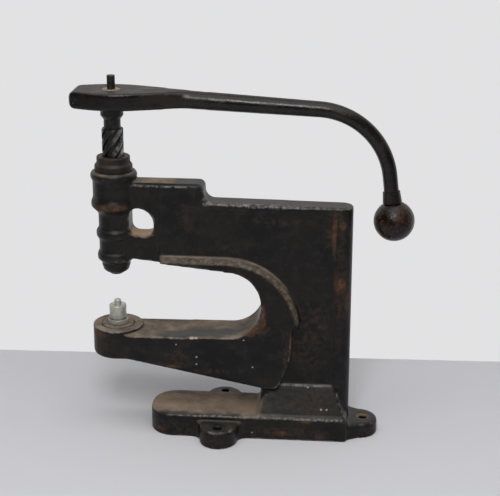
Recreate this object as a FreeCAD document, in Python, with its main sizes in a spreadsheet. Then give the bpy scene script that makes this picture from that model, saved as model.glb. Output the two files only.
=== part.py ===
import FreeCAD, Part
import math
import os
import Sketcher
from FreeCAD import Placement, Rotation, Vector

# Hand screw press for riveting documents, in millimetres.
# Origin: on the table, midway between the holes of the two side lugs.
# +X runs from the dies to the column, +Z is up, and the machine is symmetric about Y = 0.
# The screw stands over the lower arm's tip, at X = minus reach_to_lugs.

doc = FreeCAD.newDocument("screw_press")

# Driving sizes, one row each: name, value, what it is
SIZES = [
    # base of the casting
    ("reach_to_lugs", 101.0, "screw axis to the line of the side lugs"),
    ("base_toe", 69.0, "lug line to the toe end of the base"),
    ("base_heel_reach", 0.5, "heel end of the base behind the column's back"),
    ("base_half_width", 28.3, "half width of the base block"),
    ("base_height", 23.0, "height of the base block"),
    ("base_corner_round", 24.0, "plan radius of the two toe corners"),
    ("base_heel_round", 4.0, "plan radius of the two heel corners"),
    ("base_edge_round", 1.8, "radius of the upper edges of the base"),
    ("lug_height", 17.5, "height of the two side lugs"),
    ("tongue_height", 15.2, "height of the heel lug"),
    ("lug_round", 18.0, "plan radius of a side lug's nose"),
    ("lug_nose_out", 35.0, "centre of a side lug's nose from the middle plane"),
    ("lug_hole_out", 42.0, "hole of a side lug from the middle plane"),
    ("lug_neck_round", 10.0, "radius where a lug runs into the base"),
    ("lug_edge_round", 3.0, "radius of the upper edges of the lugs"),
    ("tongue_round", 18.0, "plan radius of the heel lug's nose"),
    ("tongue_reach", 11.5, "centre of the heel lug's nose behind the base"),
    ("tongue_hole_reach", 4.0, "hole of the heel lug behind the nose's centre"),
    ("screw_hole_bore", 8.0, "diameter of the three mounting holes"),
    ("screw_hole_mouth", 11.5, "diameter of the bevelled mouth of the heel hole"),
    # plinth, column and upper arm
    ("plinth_toe_spread", 5.2, "plinth's foot ahead of the column, throat side"),
    ("plinth_toe_draft", 9.8, "plinth's top behind the column's throat side"),
    ("plinth_heel_draft", 13.0, "plinth's top ahead of the column's back"),
    ("plinth_rise", 28.5, "height of the plinth above the base"),
    ("web_thickness", 24.0, "thickness of the column and the upper arm"),
    ("column_toe", 39.2, "lug line to the throat side of the column"),
    ("column_draft", 1.9, "how far the column's back leans out towards its foot"),
    ("column_depth", 84.3, "depth of the column from the throat to its back"),
    ("arm_depth", 69.6, "depth of the upper arm at the column"),
    ("column_heel_round", 10.5, "plan radius of the column's back corners"),
    ("column_fall", 2.1, "fall of the column's top from the step to the back"),
    ("arm_step_rise", 17.5, "rise of the step in the upper arm"),
    ("arm_step", 15.5, "step of the upper arm ahead of the lug line"),
    ("step_crest_round", 6.0, "radius at the crest of the step"),
    ("step_foot_round", 9.0, "radius at the foot of the step"),
    ("rail_round", 1.8, "radius of the rail's edges round the web"),
    ("roof_rise", 14.0, "rise of the throat's roof from the column to the screw axis"),
    ("throat_height", 60.3, "clear height of the throat at the column"),
    ("throat_roof_share", 0.535, "radius under the upper arm as a share of the throat's height"),
    ("throat_floor_share", 0.515, "radius over the lower arm as a share of the throat's height"),
    ("panel_depth", 1.8, "depth of the sunk panel in each side of the web"),
    ("panel_border", 7.0, "width of the rail above the panel"),
    ("panel_start", 43.0, "panel's throat side edge behind the screw axis"),
    ("panel_back_border", 13.5, "width of the rail behind the panel"),
    ("panel_round", 5.0, "corner radius of the panel"),
    ("window_start", 15.0, "window's barrel side behind the screw axis"),
    ("window_width", 23.0, "width of the window"),
    ("window_sill_rise", 21.8, "window's sill above the throat's roof at the screw axis"),
    ("window_height", 26.2, "height of the window"),
    ("window_round", 7.5, "radius of three corners of the window"),
    ("window_arch", 15.0, "radius of the window's arched corner"),
    # lower arm and the raised rim round the throat
    ("lower_arm_half", 23.8, "half width of the lower arm"),
    ("tip_proud", 0.4, "how far the round end stands out beyond the arm's sides"),
    ("floor_fall", 1.8, "fall of the lower arm's top towards the screw axis"),
    ("arm_heel_depth", 52.0, "depth of the lower arm at the column"),
    ("tip_depth", 24.9, "depth of the lower arm's tip"),
    ("tip_flat", 12.0, "flat of the tip's underside behind the screw axis"),
    ("under_arm_rise", 28.5, "clear height between base and lower arm at the column"),
    ("arm_edge_round", 3.5, "radius of the lower arm's lower edges"),
    ("rim_start", 44.0, "start of the raised rim behind the screw axis"),
    ("rim_start_rise", 15.1, "rim's start above the throat's roof at the column"),
    ("rim_width", 38.1, "width of the raised rim beside the throat"),
    ("rim_crown_rise", 14.7, "rim's crown above the throat's roof at the column"),
    ("rim_waist_rise", 14.5, "kink in the rim's back above the lower arm's floor"),
    ("rim_shoulder_draft", 18.9, "rim's shoulder ahead of the rim's back"),
    ("rim_nape_draft", 8.0, "foot of the step under the rim's back ahead of it"),
    ("rim_nape_drop", 6.0, "height of the step under the rim's back"),
    ("rim_belly_draft", 9.3, "rim's belly ahead of the rim's back"),
    ("rim_belly_rise", 29.5, "rim's belly above the lower arm's underside"),
    ("rim_belly_round", 75.0, "radius of the rim's belly"),
    ("rim_foot_draft", 21.8, "rim's foot ahead of the rim's back"),
    ("rim_shoulder_width", 37.7, "how much the rim's shoulder radius exceeds the throat's"),
    ("rim_foot_round", 6.0, "radius of the rim's foot"),
    ("rim_bevel", 3.5, "bevel along the rim's outer edge"),
    ("rim_half_top", 16.0, "half width of the rim at its crown"),
    ("boss_rise", 4.9, "round boss above the lower arm"),
    ("boss_bevel", 0.9, "bevel round the boss"),
    # barrel of the casting
    ("barrel_proud", 8.8, "top of the barrel above the upper arm"),
    ("barrel_rim_proud", 0.2, "top rim proud of the barrel's upper part"),
    ("collar_proud", 1.9, "top collar proud of the barrel's upper part"),
    ("collar_height", 8.5, "height of the top collar"),
    ("barrel_upper_wall", 7.1, "wall of the barrel round the bush"),
    ("shoulder_proud", 1.8, "second ring proud of the barrel's upper part"),
    ("shoulder_drop", 30.7, "second ring's middle below the barrel's top"),
    ("shoulder_rise", 5.5, "half height of the second ring"),
    ("shoulder_run_out", 9.5, "second ring's run-out below its middle"),
    ("barrel_lower_wall", 4.95, "wall of the barrel round the ram's bore"),
    ("ring_proud", 2.5, "third ring proud of the barrel's lower part"),
    ("ring_drop", 29.7, "third ring's middle below the second ring's"),
    ("ring_rise", 5.4, "half height of the third ring"),
    ("mouth_ring_proud", 2.0, "fourth ring proud of the barrel's lower part"),
    ("mouth_ring_drop", 22.7, "fourth ring's middle below the third ring's"),
    ("mouth_ring_rise", 5.6, "half height of the fourth ring"),
    ("cup_bulge_out", 0.68, "place of the end cup's bulge between mouth and side, as a share"),
    ("cup_bulge_up", 0.32, "height of the end cup's bulge, as a share of the cup's height"),
    ("mouth_depth", 7.7, "height of the barrel's end cup"),
    ("mouth_wall", 1.6, "wall of the barrel's mouth round the ram's stem"),
    ("mouth_cup_inset", 1.9, "end cup within the barrel's lower part"),
    ("mouth_cup_drop", 9.1, "where the end cup turns in, below the fourth ring's middle"),
    ("ring_edge_round", 2.0, "radius of the rings' edges"),
    # nut bush
    ("bush_proud", 14.2, "top of the nut bush above the barrel"),
    ("bush_rim_proud", 2.6, "bush's top rim outside its seat"),
    ("bush_neck_rise", 2.6, "where the bush starts to widen, above its shoulder"),
    ("bush_shoulder_proud", 4.75, "bush's shoulder outside its seat"),
    ("bush_shoulder_rise", 5.7, "height of the bush's shoulder"),
    ("bush_wall", 3.0, "wall of the bush outside the screw"),
    ("bush_depth", 20.7, "depth of the bush in the barrel"),
    ("lock_screw_radius", 2.5, "radius of the screw that locks the bush"),
    ("lock_screw_drop", 12.7, "screw that locks the bush, below the barrel's top"),
    ("lock_screw_bite", 1.0, "depth that the lock screw enters the bush"),
    # screw spindle
    ("thread_radius", 10.0, "radius over the screw thread"),
    ("thread_depth", 1.8, "depth of the thread"),
    ("thread_lead", 72.0, "rise of the thread in one turn"),
    ("thread_starts", 6, "number of starts of the thread"),
    ("groove_mouth", 5.6, "width of a groove along the axis at the crest"),
    ("groove_floor", 3.2, "width of a groove along the axis at the root"),
    ("thread_foot_gap", 1.6, "lower end of the thread above the bush's foot"),
    ("thread_show", 26.1, "length of thread that shows above the bush"),
    ("neck_inset", 0.4, "neck of the spindle within the thread's root"),
    ("neck_length", 8.6, "length of the spindle's neck"),
    ("collar_flare", 3.8, "height in which the neck widens to the collar"),
    ("seat_length", 8.0, "height of the spindle's collar"),
    ("seat_proud", 2.2, "spindle's collar outside the tenon"),
    ("tenon_radius", 8.4, "radius of the spindle in the lever's head"),
    ("tenon_length", 16.3, "length of the spindle in the lever's head"),
    ("journal_radius", 6.0, "radius of the spindle's lower journal"),
    ("journal_length", 13.0, "length of the spindle's lower journal"),
    ("stud_radius", 3.75, "radius of the stud on top"),
    ("stud_proud", 12.5, "height of the stud above the spindle"),
    ("stud_depth", 12.0, "depth of the stud in the spindle"),
    ("key_width", 4.0, "width of the lever's key"),
    ("key_proud", 1.6, "height of the key above the spindle"),
    ("key_sunk", 2.2, "depth of the key in the spindle"),
    ("key_length", 10.0, "length of the lever's key"),
    ("fit_gap", 0.02, "clearance of pieces that are fixed together"),
    ("run_gap", 0.05, "radial clearance of shafts that run in holes"),
    ("free_gap", 0.4, "clearance of pieces that pass each other"),
    # lever and knob
    ("head_thickness", 16.1, "thickness of the lever's head"),
    ("head_half_width", 29.5, "half width of the lever's head at the screw"),
    ("head_tail", 36.9, "lever's tail beyond the screw axis"),
    ("tail_half_width", 15.8, "half width of the tail's end"),
    ("head_nose", 72.0, "length of the head towards the rod"),
    ("nose_half_width", 5.5, "half width of the head where it ends in the rod"),
    ("head_edge_round", 2.4, "radius of the head's edges"),
    ("tail_corner_round", 6.0, "plan radius of the tail's corners"),
    ("head_side_round", 70.0, "plan radius of the head beside the screw"),
    ("rod_root_radius", 8.7, "radius of the rod at the head"),
    ("rod_bend_radius", 7.4, "radius of the rod where the bend starts"),
    ("rod_end_radius", 6.9, "radius of the rod at the bend's end"),
    ("rod_rise", 8.1, "rod's axis above the head's underside"),
    ("rod_start", 60.0, "start of the rod behind the screw axis"),
    ("swell_start", 22.0, "start of the swell under the rod behind the screw axis"),
    ("swell_radius", 6.4, "radius where the swell starts"),
    ("bend_start", 190.6, "start of the bend behind the screw axis"),
    ("bend_radius", 70.4, "radius of the bend along the rod's axis"),
    ("rod_droop", 3.0, "droop of the straight rod, degrees"),
    ("bend_end_lean", 7.5, "outward lean of the rod's end, degrees"),
    ("end_run", 14.8, "straight run from the bend to the collar"),
    ("knob_collar_length", 10.0, "length of the collar above the knob"),
    ("knob_collar_top_proud", 1.1, "collar outside the rod at its upper end"),
    ("knob_collar_foot_proud", 2.0, "collar outside the rod at the knob"),
    ("knob_radius", 19.0, "radius of the ball knob"),
    ("knob_flat", 0.7, "flat cut on the ball under the collar"),
    ("knob_tenon_inset", 1.2, "rod's tenon in the knob within the rod"),
    ("knob_tenon_depth", 22.0, "depth of the tenon in the knob"),
    ("cross_pin_radius", 1.9, "radius of the pin across the lever's tail"),
    ("cross_pin_out", 30.5, "pin ahead of the screw axis"),
    ("cross_pin_rise", 7.0, "pin across the tail above the head's underside"),
    ("mouth_bevel", 1.1, "bevel at the top of the lever's eye"),
    # ram and upper die
    ("travel", 27.0, "travel of the ram"),
    ("ram_bore_gap", 0.55, "barrel's bore for the ram's head outside the screw"),
    ("ram_end_gap", 1.5, "space under the ram's head at full travel"),
    ("ram_head_length", 17.7, "length of the ram's head"),
    ("ram_top_gap", 0.8, "space between the ram's head and the bush"),
    ("ram_stem_radius", 6.6, "radius of the ram's stem"),
    ("ram_foot_gap", 5.2, "end of the ram's stem above the barrel's mouth"),
    ("button_thickness", 3.4, "thickness of the thrust button"),
    ("retainer_radius", 1.5, "radius of the two retaining pins"),
    ("retainer_drop", 6.2, "retaining pins below the top of the ram's head"),
    ("guide_screw_radius", 2.0, "radius of the guide screw"),
    ("guide_screw_drop", 2.1, "guide screw below the fourth ring's middle"),
    ("guide_dog_radius", 1.5, "radius of the guide screw's dog"),
    ("guide_turn", 22.0, "turn of the guide screw from the front, degrees"),
    ("keyway_depth", 1.5, "depth of the ram's keyway"),
    ("die_length", 6.6, "length of the upper die below the ram's stem"),
    ("die_shank_radius", 3.5, "radius of the upper die's shank"),
    ("die_shank_length", 11.0, "length of the upper die's shank"),
    ("die_cup_radius", 3.8, "radius of the cup in the upper die's face"),
    ("die_cup_depth", 4.5, "depth of the cup in the upper die's face"),
    ("die_screw_radius", 1.5, "radius of the upper die's set screw"),
    ("die_screw_rise", 6.0, "upper die's set screw above the end of the ram's stem"),
    # lower die
    ("seat_ring_wall", 5.75, "seat outside the lower die's flange"),
    ("seat_ring_depth", 8.0, "depth of the seat in the boss"),
    ("anvil_flange_proud", 1.7, "lower die's flange outside the die"),
    ("anvil_flange_height", 5.0, "height of the lower die's flange"),
    ("anvil_proud", 1.95, "lower die outside its shank"),
    ("anvil_rise", 18.8, "height of the lower die above the boss"),
    ("anvil_shank_wall", 1.9, "wall of the shank round the pilot's shoulder"),
    ("anvil_shank_length", 17.0, "length of the lower die's shank"),
    ("anvil_screw_radius", 2.5, "radius of the lower die's set screw"),
    ("anvil_screw_drop", 12.0, "set screw below the boss"),
    ("pilot_radius", 3.4, "radius of the pilot pin"),
    ("pilot_proud", 5.3, "pilot pin above the lower die"),
    ("pilot_shoulder_proud", 0.9, "pilot pin's shoulder outside the pin"),
    ("pilot_shoulder_height", 3.0, "height of the pilot pin's shoulder"),
    ("pilot_stop_rise", 8.2, "stop over the pilot's shoulder, above the boss"),
    ("spring_wall", 1.4, "wall of the spring under the pilot pin"),
    ("plug_thickness", 4.0, "thickness of the plug under the spring"),
    ("driver_slot_width", 0.9, "width of the screws' slots"),
    ("driver_slot_depth", 1.0, "depth of the screws' slots"),
    ("edge_bevel", 0.5, "small bevels on turned pieces"),
    ("overrun", 2.0, "length that cuts run past a face"),
]

# Places that follow from the sizes above, in the order in which they build on each other
PLACES = [
    ("column_heel", "column_toe + column_depth", "back of the column"),
    ("plinth_toe", "column_toe - plinth_toe_spread", "plinth's foot, throat side"),
    ("plinth_top_toe", "column_toe + plinth_toe_draft", "plinth's top, throat side"),
    ("plinth_top_heel", "column_heel - plinth_heel_draft", "plinth's top, heel side"),
    ("base_heel", "column_heel + base_heel_reach", "heel end of the base"),
    ("tongue_nose_out", "base_heel + tongue_reach", "centre of the heel lug's nose"),
    ("tongue_hole_out", "tongue_nose_out + tongue_hole_reach", "hole of the heel lug"),
    ("panel_heel", "column_heel - panel_back_border", "back edge of the panel"),
    ("panel_toe", "reach_to_lugs - panel_start", "panel's throat side edge ahead of the lug line"),
    ("window_toe", "reach_to_lugs - window_start", "window's barrel side ahead of the lug line"),
    ("window_heel", "window_toe - window_width", "window's web side ahead of the lug line"),
    ("rim_tip", "reach_to_lugs - rim_start", "start of the raised rim ahead of the lug line"),
    ("rim_heel", "column_toe + rim_width", "back of the raised rim"),
    ("rim_shoulder", "rim_heel - rim_shoulder_draft", "rim's shoulder"),
    ("rim_belly_out", "rim_heel - rim_belly_draft", "rim's belly"),
    ("rim_foot", "rim_heel - rim_foot_draft", "rim's foot"),
    ("plinth_top", "base_height + plinth_rise", "height of the plinth's top"),
    ("arm_heel_underside", "base_height + under_arm_rise", "underside of the lower arm at the column"),
    ("rim_belly_level", "arm_heel_underside + rim_belly_rise", "height of the rim's belly"),
    ("floor_at_column", "arm_heel_underside + arm_heel_depth", "top of the lower arm at the column"),
    ("floor_at_screw", "floor_at_column - floor_fall", "top of the lower arm at the screw axis"),
    ("tip_underside", "floor_at_screw - tip_depth", "underside of the lower arm's tip"),
    ("boss_height", "floor_at_screw + boss_rise", "height of the round boss"),
    ("rim_waist", "floor_at_column + rim_waist_rise", "height of the kink in the rim's back"),
    ("roof_at_column", "floor_at_column + throat_height", "throat's roof at the column"),
    ("roof_at_screw", "roof_at_column + roof_rise", "throat's roof at the screw axis"),
    ("throat_roof_round", "throat_height * throat_roof_share", "radius of the throat under the upper arm"),
    ("throat_floor_round", "throat_height * throat_floor_share", "radius of the throat over the lower arm"),
    ("rim_round", "throat_roof_round + rim_shoulder_width", "radius of the rim's shoulder"),
    ("rim_tip_top", "roof_at_column + rim_start_rise", "height of the rim where it starts"),
    ("rim_top", "roof_at_column + rim_crown_rise", "height of the rim's crown"),
    ("column_top", "roof_at_column + arm_depth", "height of the column"),
    ("arm_top", "column_top + arm_step_rise", "height of the upper arm"),
    ("window_sill", "roof_at_screw + window_sill_rise", "height of the window's sill"),
    ("window_head", "window_sill + window_height", "height of the window's head"),
    ("barrel_top", "arm_top + barrel_proud", "height of the barrel"),
    ("shoulder_level", "barrel_top - shoulder_drop", "height of the second ring's middle"),
    ("shoulder_foot", "shoulder_level - shoulder_run_out", "height where the second ring has run out"),
    ("ring_level", "shoulder_level - ring_drop", "height of the third ring's middle"),
    ("mouth_ring_level", "ring_level - mouth_ring_drop", "height of the fourth ring's middle"),
    ("mouth_cup_level", "mouth_ring_level - mouth_cup_drop", "height where the end cup turns in"),
    ("mouth_level", "mouth_cup_level - mouth_depth", "height of the barrel's mouth"),
    ("bush_seat_radius", "thread_radius + bush_wall", "radius of the bush in the barrel"),
    ("bush_rim_radius", "bush_seat_radius + bush_rim_proud", "radius of the bush's top rim"),
    ("bush_shoulder_radius", "bush_seat_radius + bush_shoulder_proud", "radius of the bush's shoulder"),
    ("barrel_upper_radius", "bush_seat_radius + barrel_upper_wall", "radius of the barrel's upper part"),
    ("barrel_rim_radius", "barrel_upper_radius + barrel_rim_proud", "radius of the barrel's top rim"),
    ("collar_radius", "barrel_upper_radius + collar_proud", "radius of the top collar"),
    ("shoulder_radius", "barrel_upper_radius + shoulder_proud", "radius of the second ring"),
    ("ram_bore_radius", "thread_radius + ram_bore_gap", "radius of the barrel's bore for the ram's head"),
    ("barrel_lower_radius", "ram_bore_radius + barrel_lower_wall", "radius of the barrel's lower part"),
    ("ring_radius", "barrel_lower_radius + ring_proud", "radius of the third ring"),
    ("mouth_ring_radius", "barrel_lower_radius + mouth_ring_proud", "radius of the fourth ring"),
    ("mouth_cup_radius", "barrel_lower_radius - mouth_cup_inset", "radius of the barrel's end cup"),
    ("mouth_radius", "ram_stem_radius + mouth_wall", "outer radius of the barrel's mouth"),
    ("bush_top", "barrel_top + bush_proud", "height of the nut bush"),
    ("bush_shoulder_level", "barrel_top + bush_shoulder_rise", "height of the bush's shoulder"),
    ("bush_neck_level", "bush_shoulder_level + bush_neck_rise", "height where the bush starts to widen"),
    ("bush_foot", "barrel_top - bush_depth", "lower end of the bush"),
    ("lock_screw_level", "barrel_top - lock_screw_drop", "height of the screw that locks the bush"),
    ("thread_root", "thread_radius - thread_depth", "radius at the thread's root"),
    ("neck_radius", "thread_root - neck_inset", "radius of the spindle's neck"),
    ("seat_radius", "tenon_radius + seat_proud", "radius of the spindle's collar"),
    ("thread_foot", "bush_foot + thread_foot_gap", "lower end of the thread"),
    ("journal_foot", "thread_foot - journal_length", "lower end of the spindle"),
    ("thread_head", "bush_top + thread_show", "upper end of the thread"),
    ("neck_level", "thread_head + neck_length", "height where the neck widens to the collar"),
    ("seat_level", "neck_level + collar_flare", "height where the collar begins"),
    ("head_seat", "seat_level + seat_length", "height of the collar's seat under the lever"),
    ("tenon_top", "head_seat + tenon_length", "height of the spindle's upper end"),
    ("stud_top", "tenon_top + stud_proud", "height of the stud"),
    ("head_top", "head_seat + head_thickness", "height of the lever's head"),
    ("rod_level", "head_seat + rod_rise", "height of the rod's axis at the head"),
    ("cross_pin_level", "head_seat + cross_pin_rise", "height of the pin across the tail"),
    ("knob_collar_top", "rod_end_radius + knob_collar_top_proud", "radius of the collar at the rod"),
    ("knob_collar_foot", "rod_end_radius + knob_collar_foot_proud", "radius of the collar at the knob"),
    ("knob_tenon_radius", "rod_end_radius - knob_tenon_inset", "radius of the rod's tenon in the knob"),
    ("ram_head_top", "bush_foot - ram_top_gap", "upper end of the ram's head"),
    ("ram_head_foot", "ram_head_top - ram_head_length", "lower end of the ram's head"),
    ("ram_bore_floor", "ram_head_foot - travel - ram_end_gap", "floor of the bore for the ram's head"),
    ("retainer_level", "ram_head_top - retainer_drop", "height of the two retaining pins"),
    ("ram_foot", "mouth_level + ram_foot_gap", "lower end of the ram's stem"),
    ("guide_screw_level", "mouth_ring_level - guide_screw_drop", "height of the guide screw"),
    ("die_face", "ram_foot - die_length", "height of the upper die's face"),
    ("die_screw_level", "ram_foot + die_screw_rise", "height of the upper die's set screw"),
    ("pilot_shoulder_radius", "pilot_radius + pilot_shoulder_proud", "radius of the pilot pin's shoulder"),
    ("anvil_shank_radius", "pilot_shoulder_radius + anvil_shank_wall", "radius of the lower die's shank"),
    ("anvil_radius", "anvil_shank_radius + anvil_proud", "radius of the lower die"),
    ("anvil_flange_radius", "anvil_radius + anvil_flange_proud", "radius of the lower die's flange"),
    ("seat_ring_radius", "anvil_flange_radius + seat_ring_wall", "radius of the seat under the lower die"),
    ("anvil_top", "boss_height + anvil_rise", "height of the lower die"),
    ("pilot_stop", "boss_height + pilot_stop_rise", "height of the stop over the pilot's shoulder"),
    ("pilot_top", "anvil_top + pilot_proud", "height of the pilot pin"),
]

sheet = doc.addObject("Spreadsheet::Sheet", "Sizes")
for row, (alias, content, note) in enumerate(SIZES + PLACES, start=1):
    sheet.set("A%d" % row, alias)
    sheet.set("B%d" % row, "=" + content if isinstance(content, str) else str(content))
    sheet.setAlias("B%d" % row, alias)
    sheet.set("C%d" % row, note)
doc.recompute()

# Names that formulas below use often
AXIS = "(-Sizes.reach_to_lugs)"
SEAT_FLOOR = "(Sizes.boss_height - Sizes.seat_ring_depth)"


def number(formula):
    """Value of a formula of sizes."""
    return float(sheet.evalExpression(formula.replace("Sizes.", "")))


def bind(thing, **formulas):
    """Tie properties of an object to formulas of sizes."""
    for name, formula in formulas.items():
        thing.setExpression(name, formula)
    return thing


def place(thing, across="0", along="0", up="0"):
    """Tie the position of an object to formulas of sizes."""
    for axis, formula in (("x", across), ("y", along), ("z", up)):
        if formula != "0":
            thing.setExpression("Placement.Base." + axis, "(%s) * 1 mm" % formula)
    return thing


def origin_plane(body, role):
    for feature in body.Origin.OriginFeatures:
        if feature.Role == role:
            return feature
    raise ValueError("no plane " + role)


def outline(body, role, corners, name):
    """A closed sketch with straight sides, each corner tied to two formulas."""
    sketch = body.newObject("Sketcher::SketchObject", name)
    sketch.AttachmentSupport = [(origin_plane(body, role), "")]
    sketch.MapMode = "FlatFace"
    spots = [Vector(number(first), number(second), 0) for first, second in corners]
    count = len(spots)
    for i in range(count):
        sketch.addGeometry(Part.LineSegment(spots[i], spots[(i + 1) % count]), False)
    for i in range(count):
        sketch.addConstraint(Sketcher.Constraint("Coincident", i, 2, (i + 1) % count, 1))
    for i, (first, second) in enumerate(corners):
        for kind, formula, value in (("DistanceX", first, spots[i].x), ("DistanceY", second, spots[i].y)):
            if formula == "0":
                line = -2 if kind == "DistanceX" else -1
                sketch.addConstraint(Sketcher.Constraint("PointOnObject", i, 1, line))
                continue
            index = sketch.addConstraint(Sketcher.Constraint(kind, -1, 1, i, 1, value))
            sketch.setExpression("Constraints[%d]" % index, formula)
    return sketch


def padded(name, role, corners, length, centred=True):
    """A body that is a straight sided outline with a thickness."""
    body = doc.addObject("PartDesign::Body", name)
    sketch = outline(body, role, corners, name + "_outline")
    pad = body.newObject("PartDesign::Pad", name + "_pad")
    pad.Profile = sketch
    pad.SideType = "Symmetric" if centred else "One side"
    bind(pad, Length=length)
    doc.recompute()
    return body


def turned(name, corners, across=AXIS):
    """A body turned about a vertical axis, its half outline given as radius and height."""
    body = doc.addObject("PartDesign::Body", name)
    sketch = outline(body, "XZ_Plane", corners, name + "_outline")
    turn = body.newObject("PartDesign::Revolution", name + "_turn")
    turn.Profile = sketch
    turn.ReferenceAxis = (sketch, ["V_Axis"])
    turn.Angle = 360
    place(body, across=across)
    doc.recompute()
    return body


def edges_where(shape, test):
    """Names of the edges whose ends and middle all pass a test."""
    found = []
    for i, edge in enumerate(shape.Edges, start=1):
        middle = edge.valueAt((edge.FirstParameter + edge.LastParameter) / 2)
        spots = [middle] + [vertex.Point for vertex in edge.Vertexes]
        if all(test(spot) for spot in spots):
            found.append("Edge%d" % i)
    return found


def rounded(body, name, radius, test, kind="PartDesign::Fillet"):
    """Round or bevel the edges of a body's last feature that pass a test."""
    last = body.Tip
    names = edges_where(last.Shape, test)
    if not names:
        raise ValueError("no edges for " + name)
    dress = body.newObject(kind, name)
    dress.Base = (last, names)
    bind(dress, **{"Radius" if kind.endswith("Fillet") else "Size": radius})
    doc.recompute()
    if "Invalid" in dress.State or "Error" in dress.State or dress.Shape.isNull():
        raise ValueError("could not round " + name)
    return body


def near(first, second):
    """Whether two lengths agree."""
    return abs(first - second) < number("Sizes.fit_gap")


def corner_at(first, second, horizontal="x", vertical="z"):
    """A test for the edges that run straight through one corner of an outline."""
    one, two = number(first), number(second)
    return lambda spot: near(getattr(spot, horizontal), one) and near(getattr(spot, vertical), two)


def cylinder(name, radius, height, across="0", along="0", up="0"):
    rod = doc.addObject("Part::Cylinder", name)
    bind(rod, Radius=radius, Height=height)
    return place(rod, across, along, up)


def aim(thing, direction, turn=0.0):
    """Turn a piece that was made along Z so that it points another way."""
    about_axis = Rotation(Vector(0, 0, 1), turn)
    thing.Placement.Rotation = about_axis.multiply(Rotation(Vector(0, 0, 1), Vector(*direction)))
    return thing


def cut(name, base, *tools):
    tool = tools[0] if len(tools) == 1 else joined(name + "_tools", *tools)
    result = doc.addObject("Part::Cut", name)
    result.Base = base
    result.Tool = tool
    return result


def joined(name, *things):
    result = doc.addObject("Part::MultiFuse", name)
    result.Shapes = list(things)
    result.Refine = True
    return result


# Base block with its toe rounded in plan
def make_base():
    toe, heel, side = "-Sizes.base_toe", "Sizes.base_heel", "Sizes.base_half_width"
    corners = [(toe, "-" + side), (heel, "-" + side), (heel, side), (toe, side)]
    body = padded("base_block", "XY_Plane", corners, "Sizes.base_height", centred=False)
    for name, end, radius in (("toe_round", toe, "Sizes.base_corner_round"),
                              ("heel_round", heel, "Sizes.base_heel_round")):
        place_x = number(end)
        half = number(side)
        rounded(body, name, radius, lambda p: near(p.x, place_x) and near(abs(p.y), half))
    top = number("Sizes.base_height")
    return rounded(body, "base_edges", "Sizes.base_edge_round", lambda p: near(p.z, top))


# Side lugs: one bar across the base with round noses, and necks that run into its sides
def make_side_lugs():
    neck = "(Sizes.lug_round + Sizes.lug_neck_round)"
    half = "Sizes.base_half_width"
    nose = "(Sizes.lug_nose_out + Sizes.lug_round)"
    inner = "(Sizes.base_half_width - Sizes.lug_neck_round)"
    corners = [("-" + neck, "-" + inner), ("-" + neck, "-" + half), ("-Sizes.lug_round", "-" + half),
               ("-Sizes.lug_round", "-" + nose), ("Sizes.lug_round", "-" + nose),
               ("Sizes.lug_round", "-" + half), (neck, "-" + half), (neck, "-" + inner),
               (neck, inner), (neck, half), ("Sizes.lug_round", half),
               ("Sizes.lug_round", nose), ("-Sizes.lug_round", nose),
               ("-Sizes.lug_round", half), ("-" + neck, half), ("-" + neck, inner)]
    body = padded("side_lugs", "XY_Plane", corners, "Sizes.lug_height", centred=False)
    side, far, close = number("Sizes.lug_round"), number(nose), number(half)
    rounded(body, "lug_noses", "Sizes.lug_round - Sizes.fit_gap",
            lambda p: near(abs(p.x), side) and near(abs(p.y), far))
    rounded(body, "lug_necks", "Sizes.lug_neck_round - Sizes.fit_gap",
            lambda p: near(abs(p.x), side) and near(abs(p.y), close))
    top = number("Sizes.lug_height")
    rounded(body, "lug_edges", "Sizes.lug_edge_round",
            lambda p: near(p.z, top) and abs(p.y) > close and abs(p.x) < side + number("Sizes.fit_gap"))
    return body


# Heel lug: a tongue behind the base
def make_heel_lug():
    start = "Sizes.plinth_top_heel"
    nose = "(Sizes.tongue_nose_out + Sizes.tongue_round)"
    wide = "Sizes.tongue_round"
    flare = "(Sizes.base_half_width - Sizes.base_heel_round)"
    corners = [(start, "-" + flare), ("Sizes.base_heel", "-" + flare),
               ("Sizes.tongue_nose_out", "-" + wide), (nose, "-" + wide), (nose, wide),
               ("Sizes.tongue_nose_out", wide), ("Sizes.base_heel", flare), (start, flare)]
    body = padded("heel_lug", "XY_Plane", corners, "Sizes.tongue_height", centred=False)
    end, half = number(nose), number(wide)
    rounded(body, "tongue_nose", "Sizes.tongue_round - Sizes.fit_gap",
            lambda p: near(p.x, end) and near(abs(p.y), half))
    top, heel = number("Sizes.tongue_height"), number("Sizes.base_heel")
    return rounded(body, "tongue_edges", "Sizes.lug_edge_round",
                   lambda p: near(p.z, top) and p.x > heel - number("Sizes.fit_gap"))


# Plinth: four sloping sides from the base up to the column
def make_plinth():
    plinth = doc.addObject("Part::Wedge", "plinth")
    half = "Sizes.base_half_width - Sizes.base_edge_round"
    bind(plinth, Xmin="Sizes.plinth_toe", Xmax="Sizes.base_heel - Sizes.base_edge_round",
         X2min="Sizes.plinth_top_toe", X2max="Sizes.plinth_top_heel",
         Zmin="-(%s)" % half, Zmax=half,
         Z2min="-Sizes.web_thickness / 2", Z2max="Sizes.web_thickness / 2",
         Ymin="Sizes.base_height - Sizes.base_edge_round", Ymax="Sizes.plinth_top")
    plinth.Placement.Rotation = Rotation(Vector(1, 0, 0), 90)
    return plinth


# Column and upper arm: one plate with a step on top and the throat's roof
HEEL_TOP = "(Sizes.column_top - Sizes.column_fall)"


def web_corners():
    return [(AXIS, "Sizes.arm_top"), ("-Sizes.arm_step", "Sizes.arm_top"),
            ("-Sizes.arm_step", "Sizes.column_top"), ("Sizes.column_heel", HEEL_TOP),
            ("Sizes.column_heel + Sizes.column_draft", "0"), ("Sizes.column_toe", "0"),
            ("Sizes.column_toe", "Sizes.roof_at_column"), (AXIS, "Sizes.roof_at_screw")]


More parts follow.
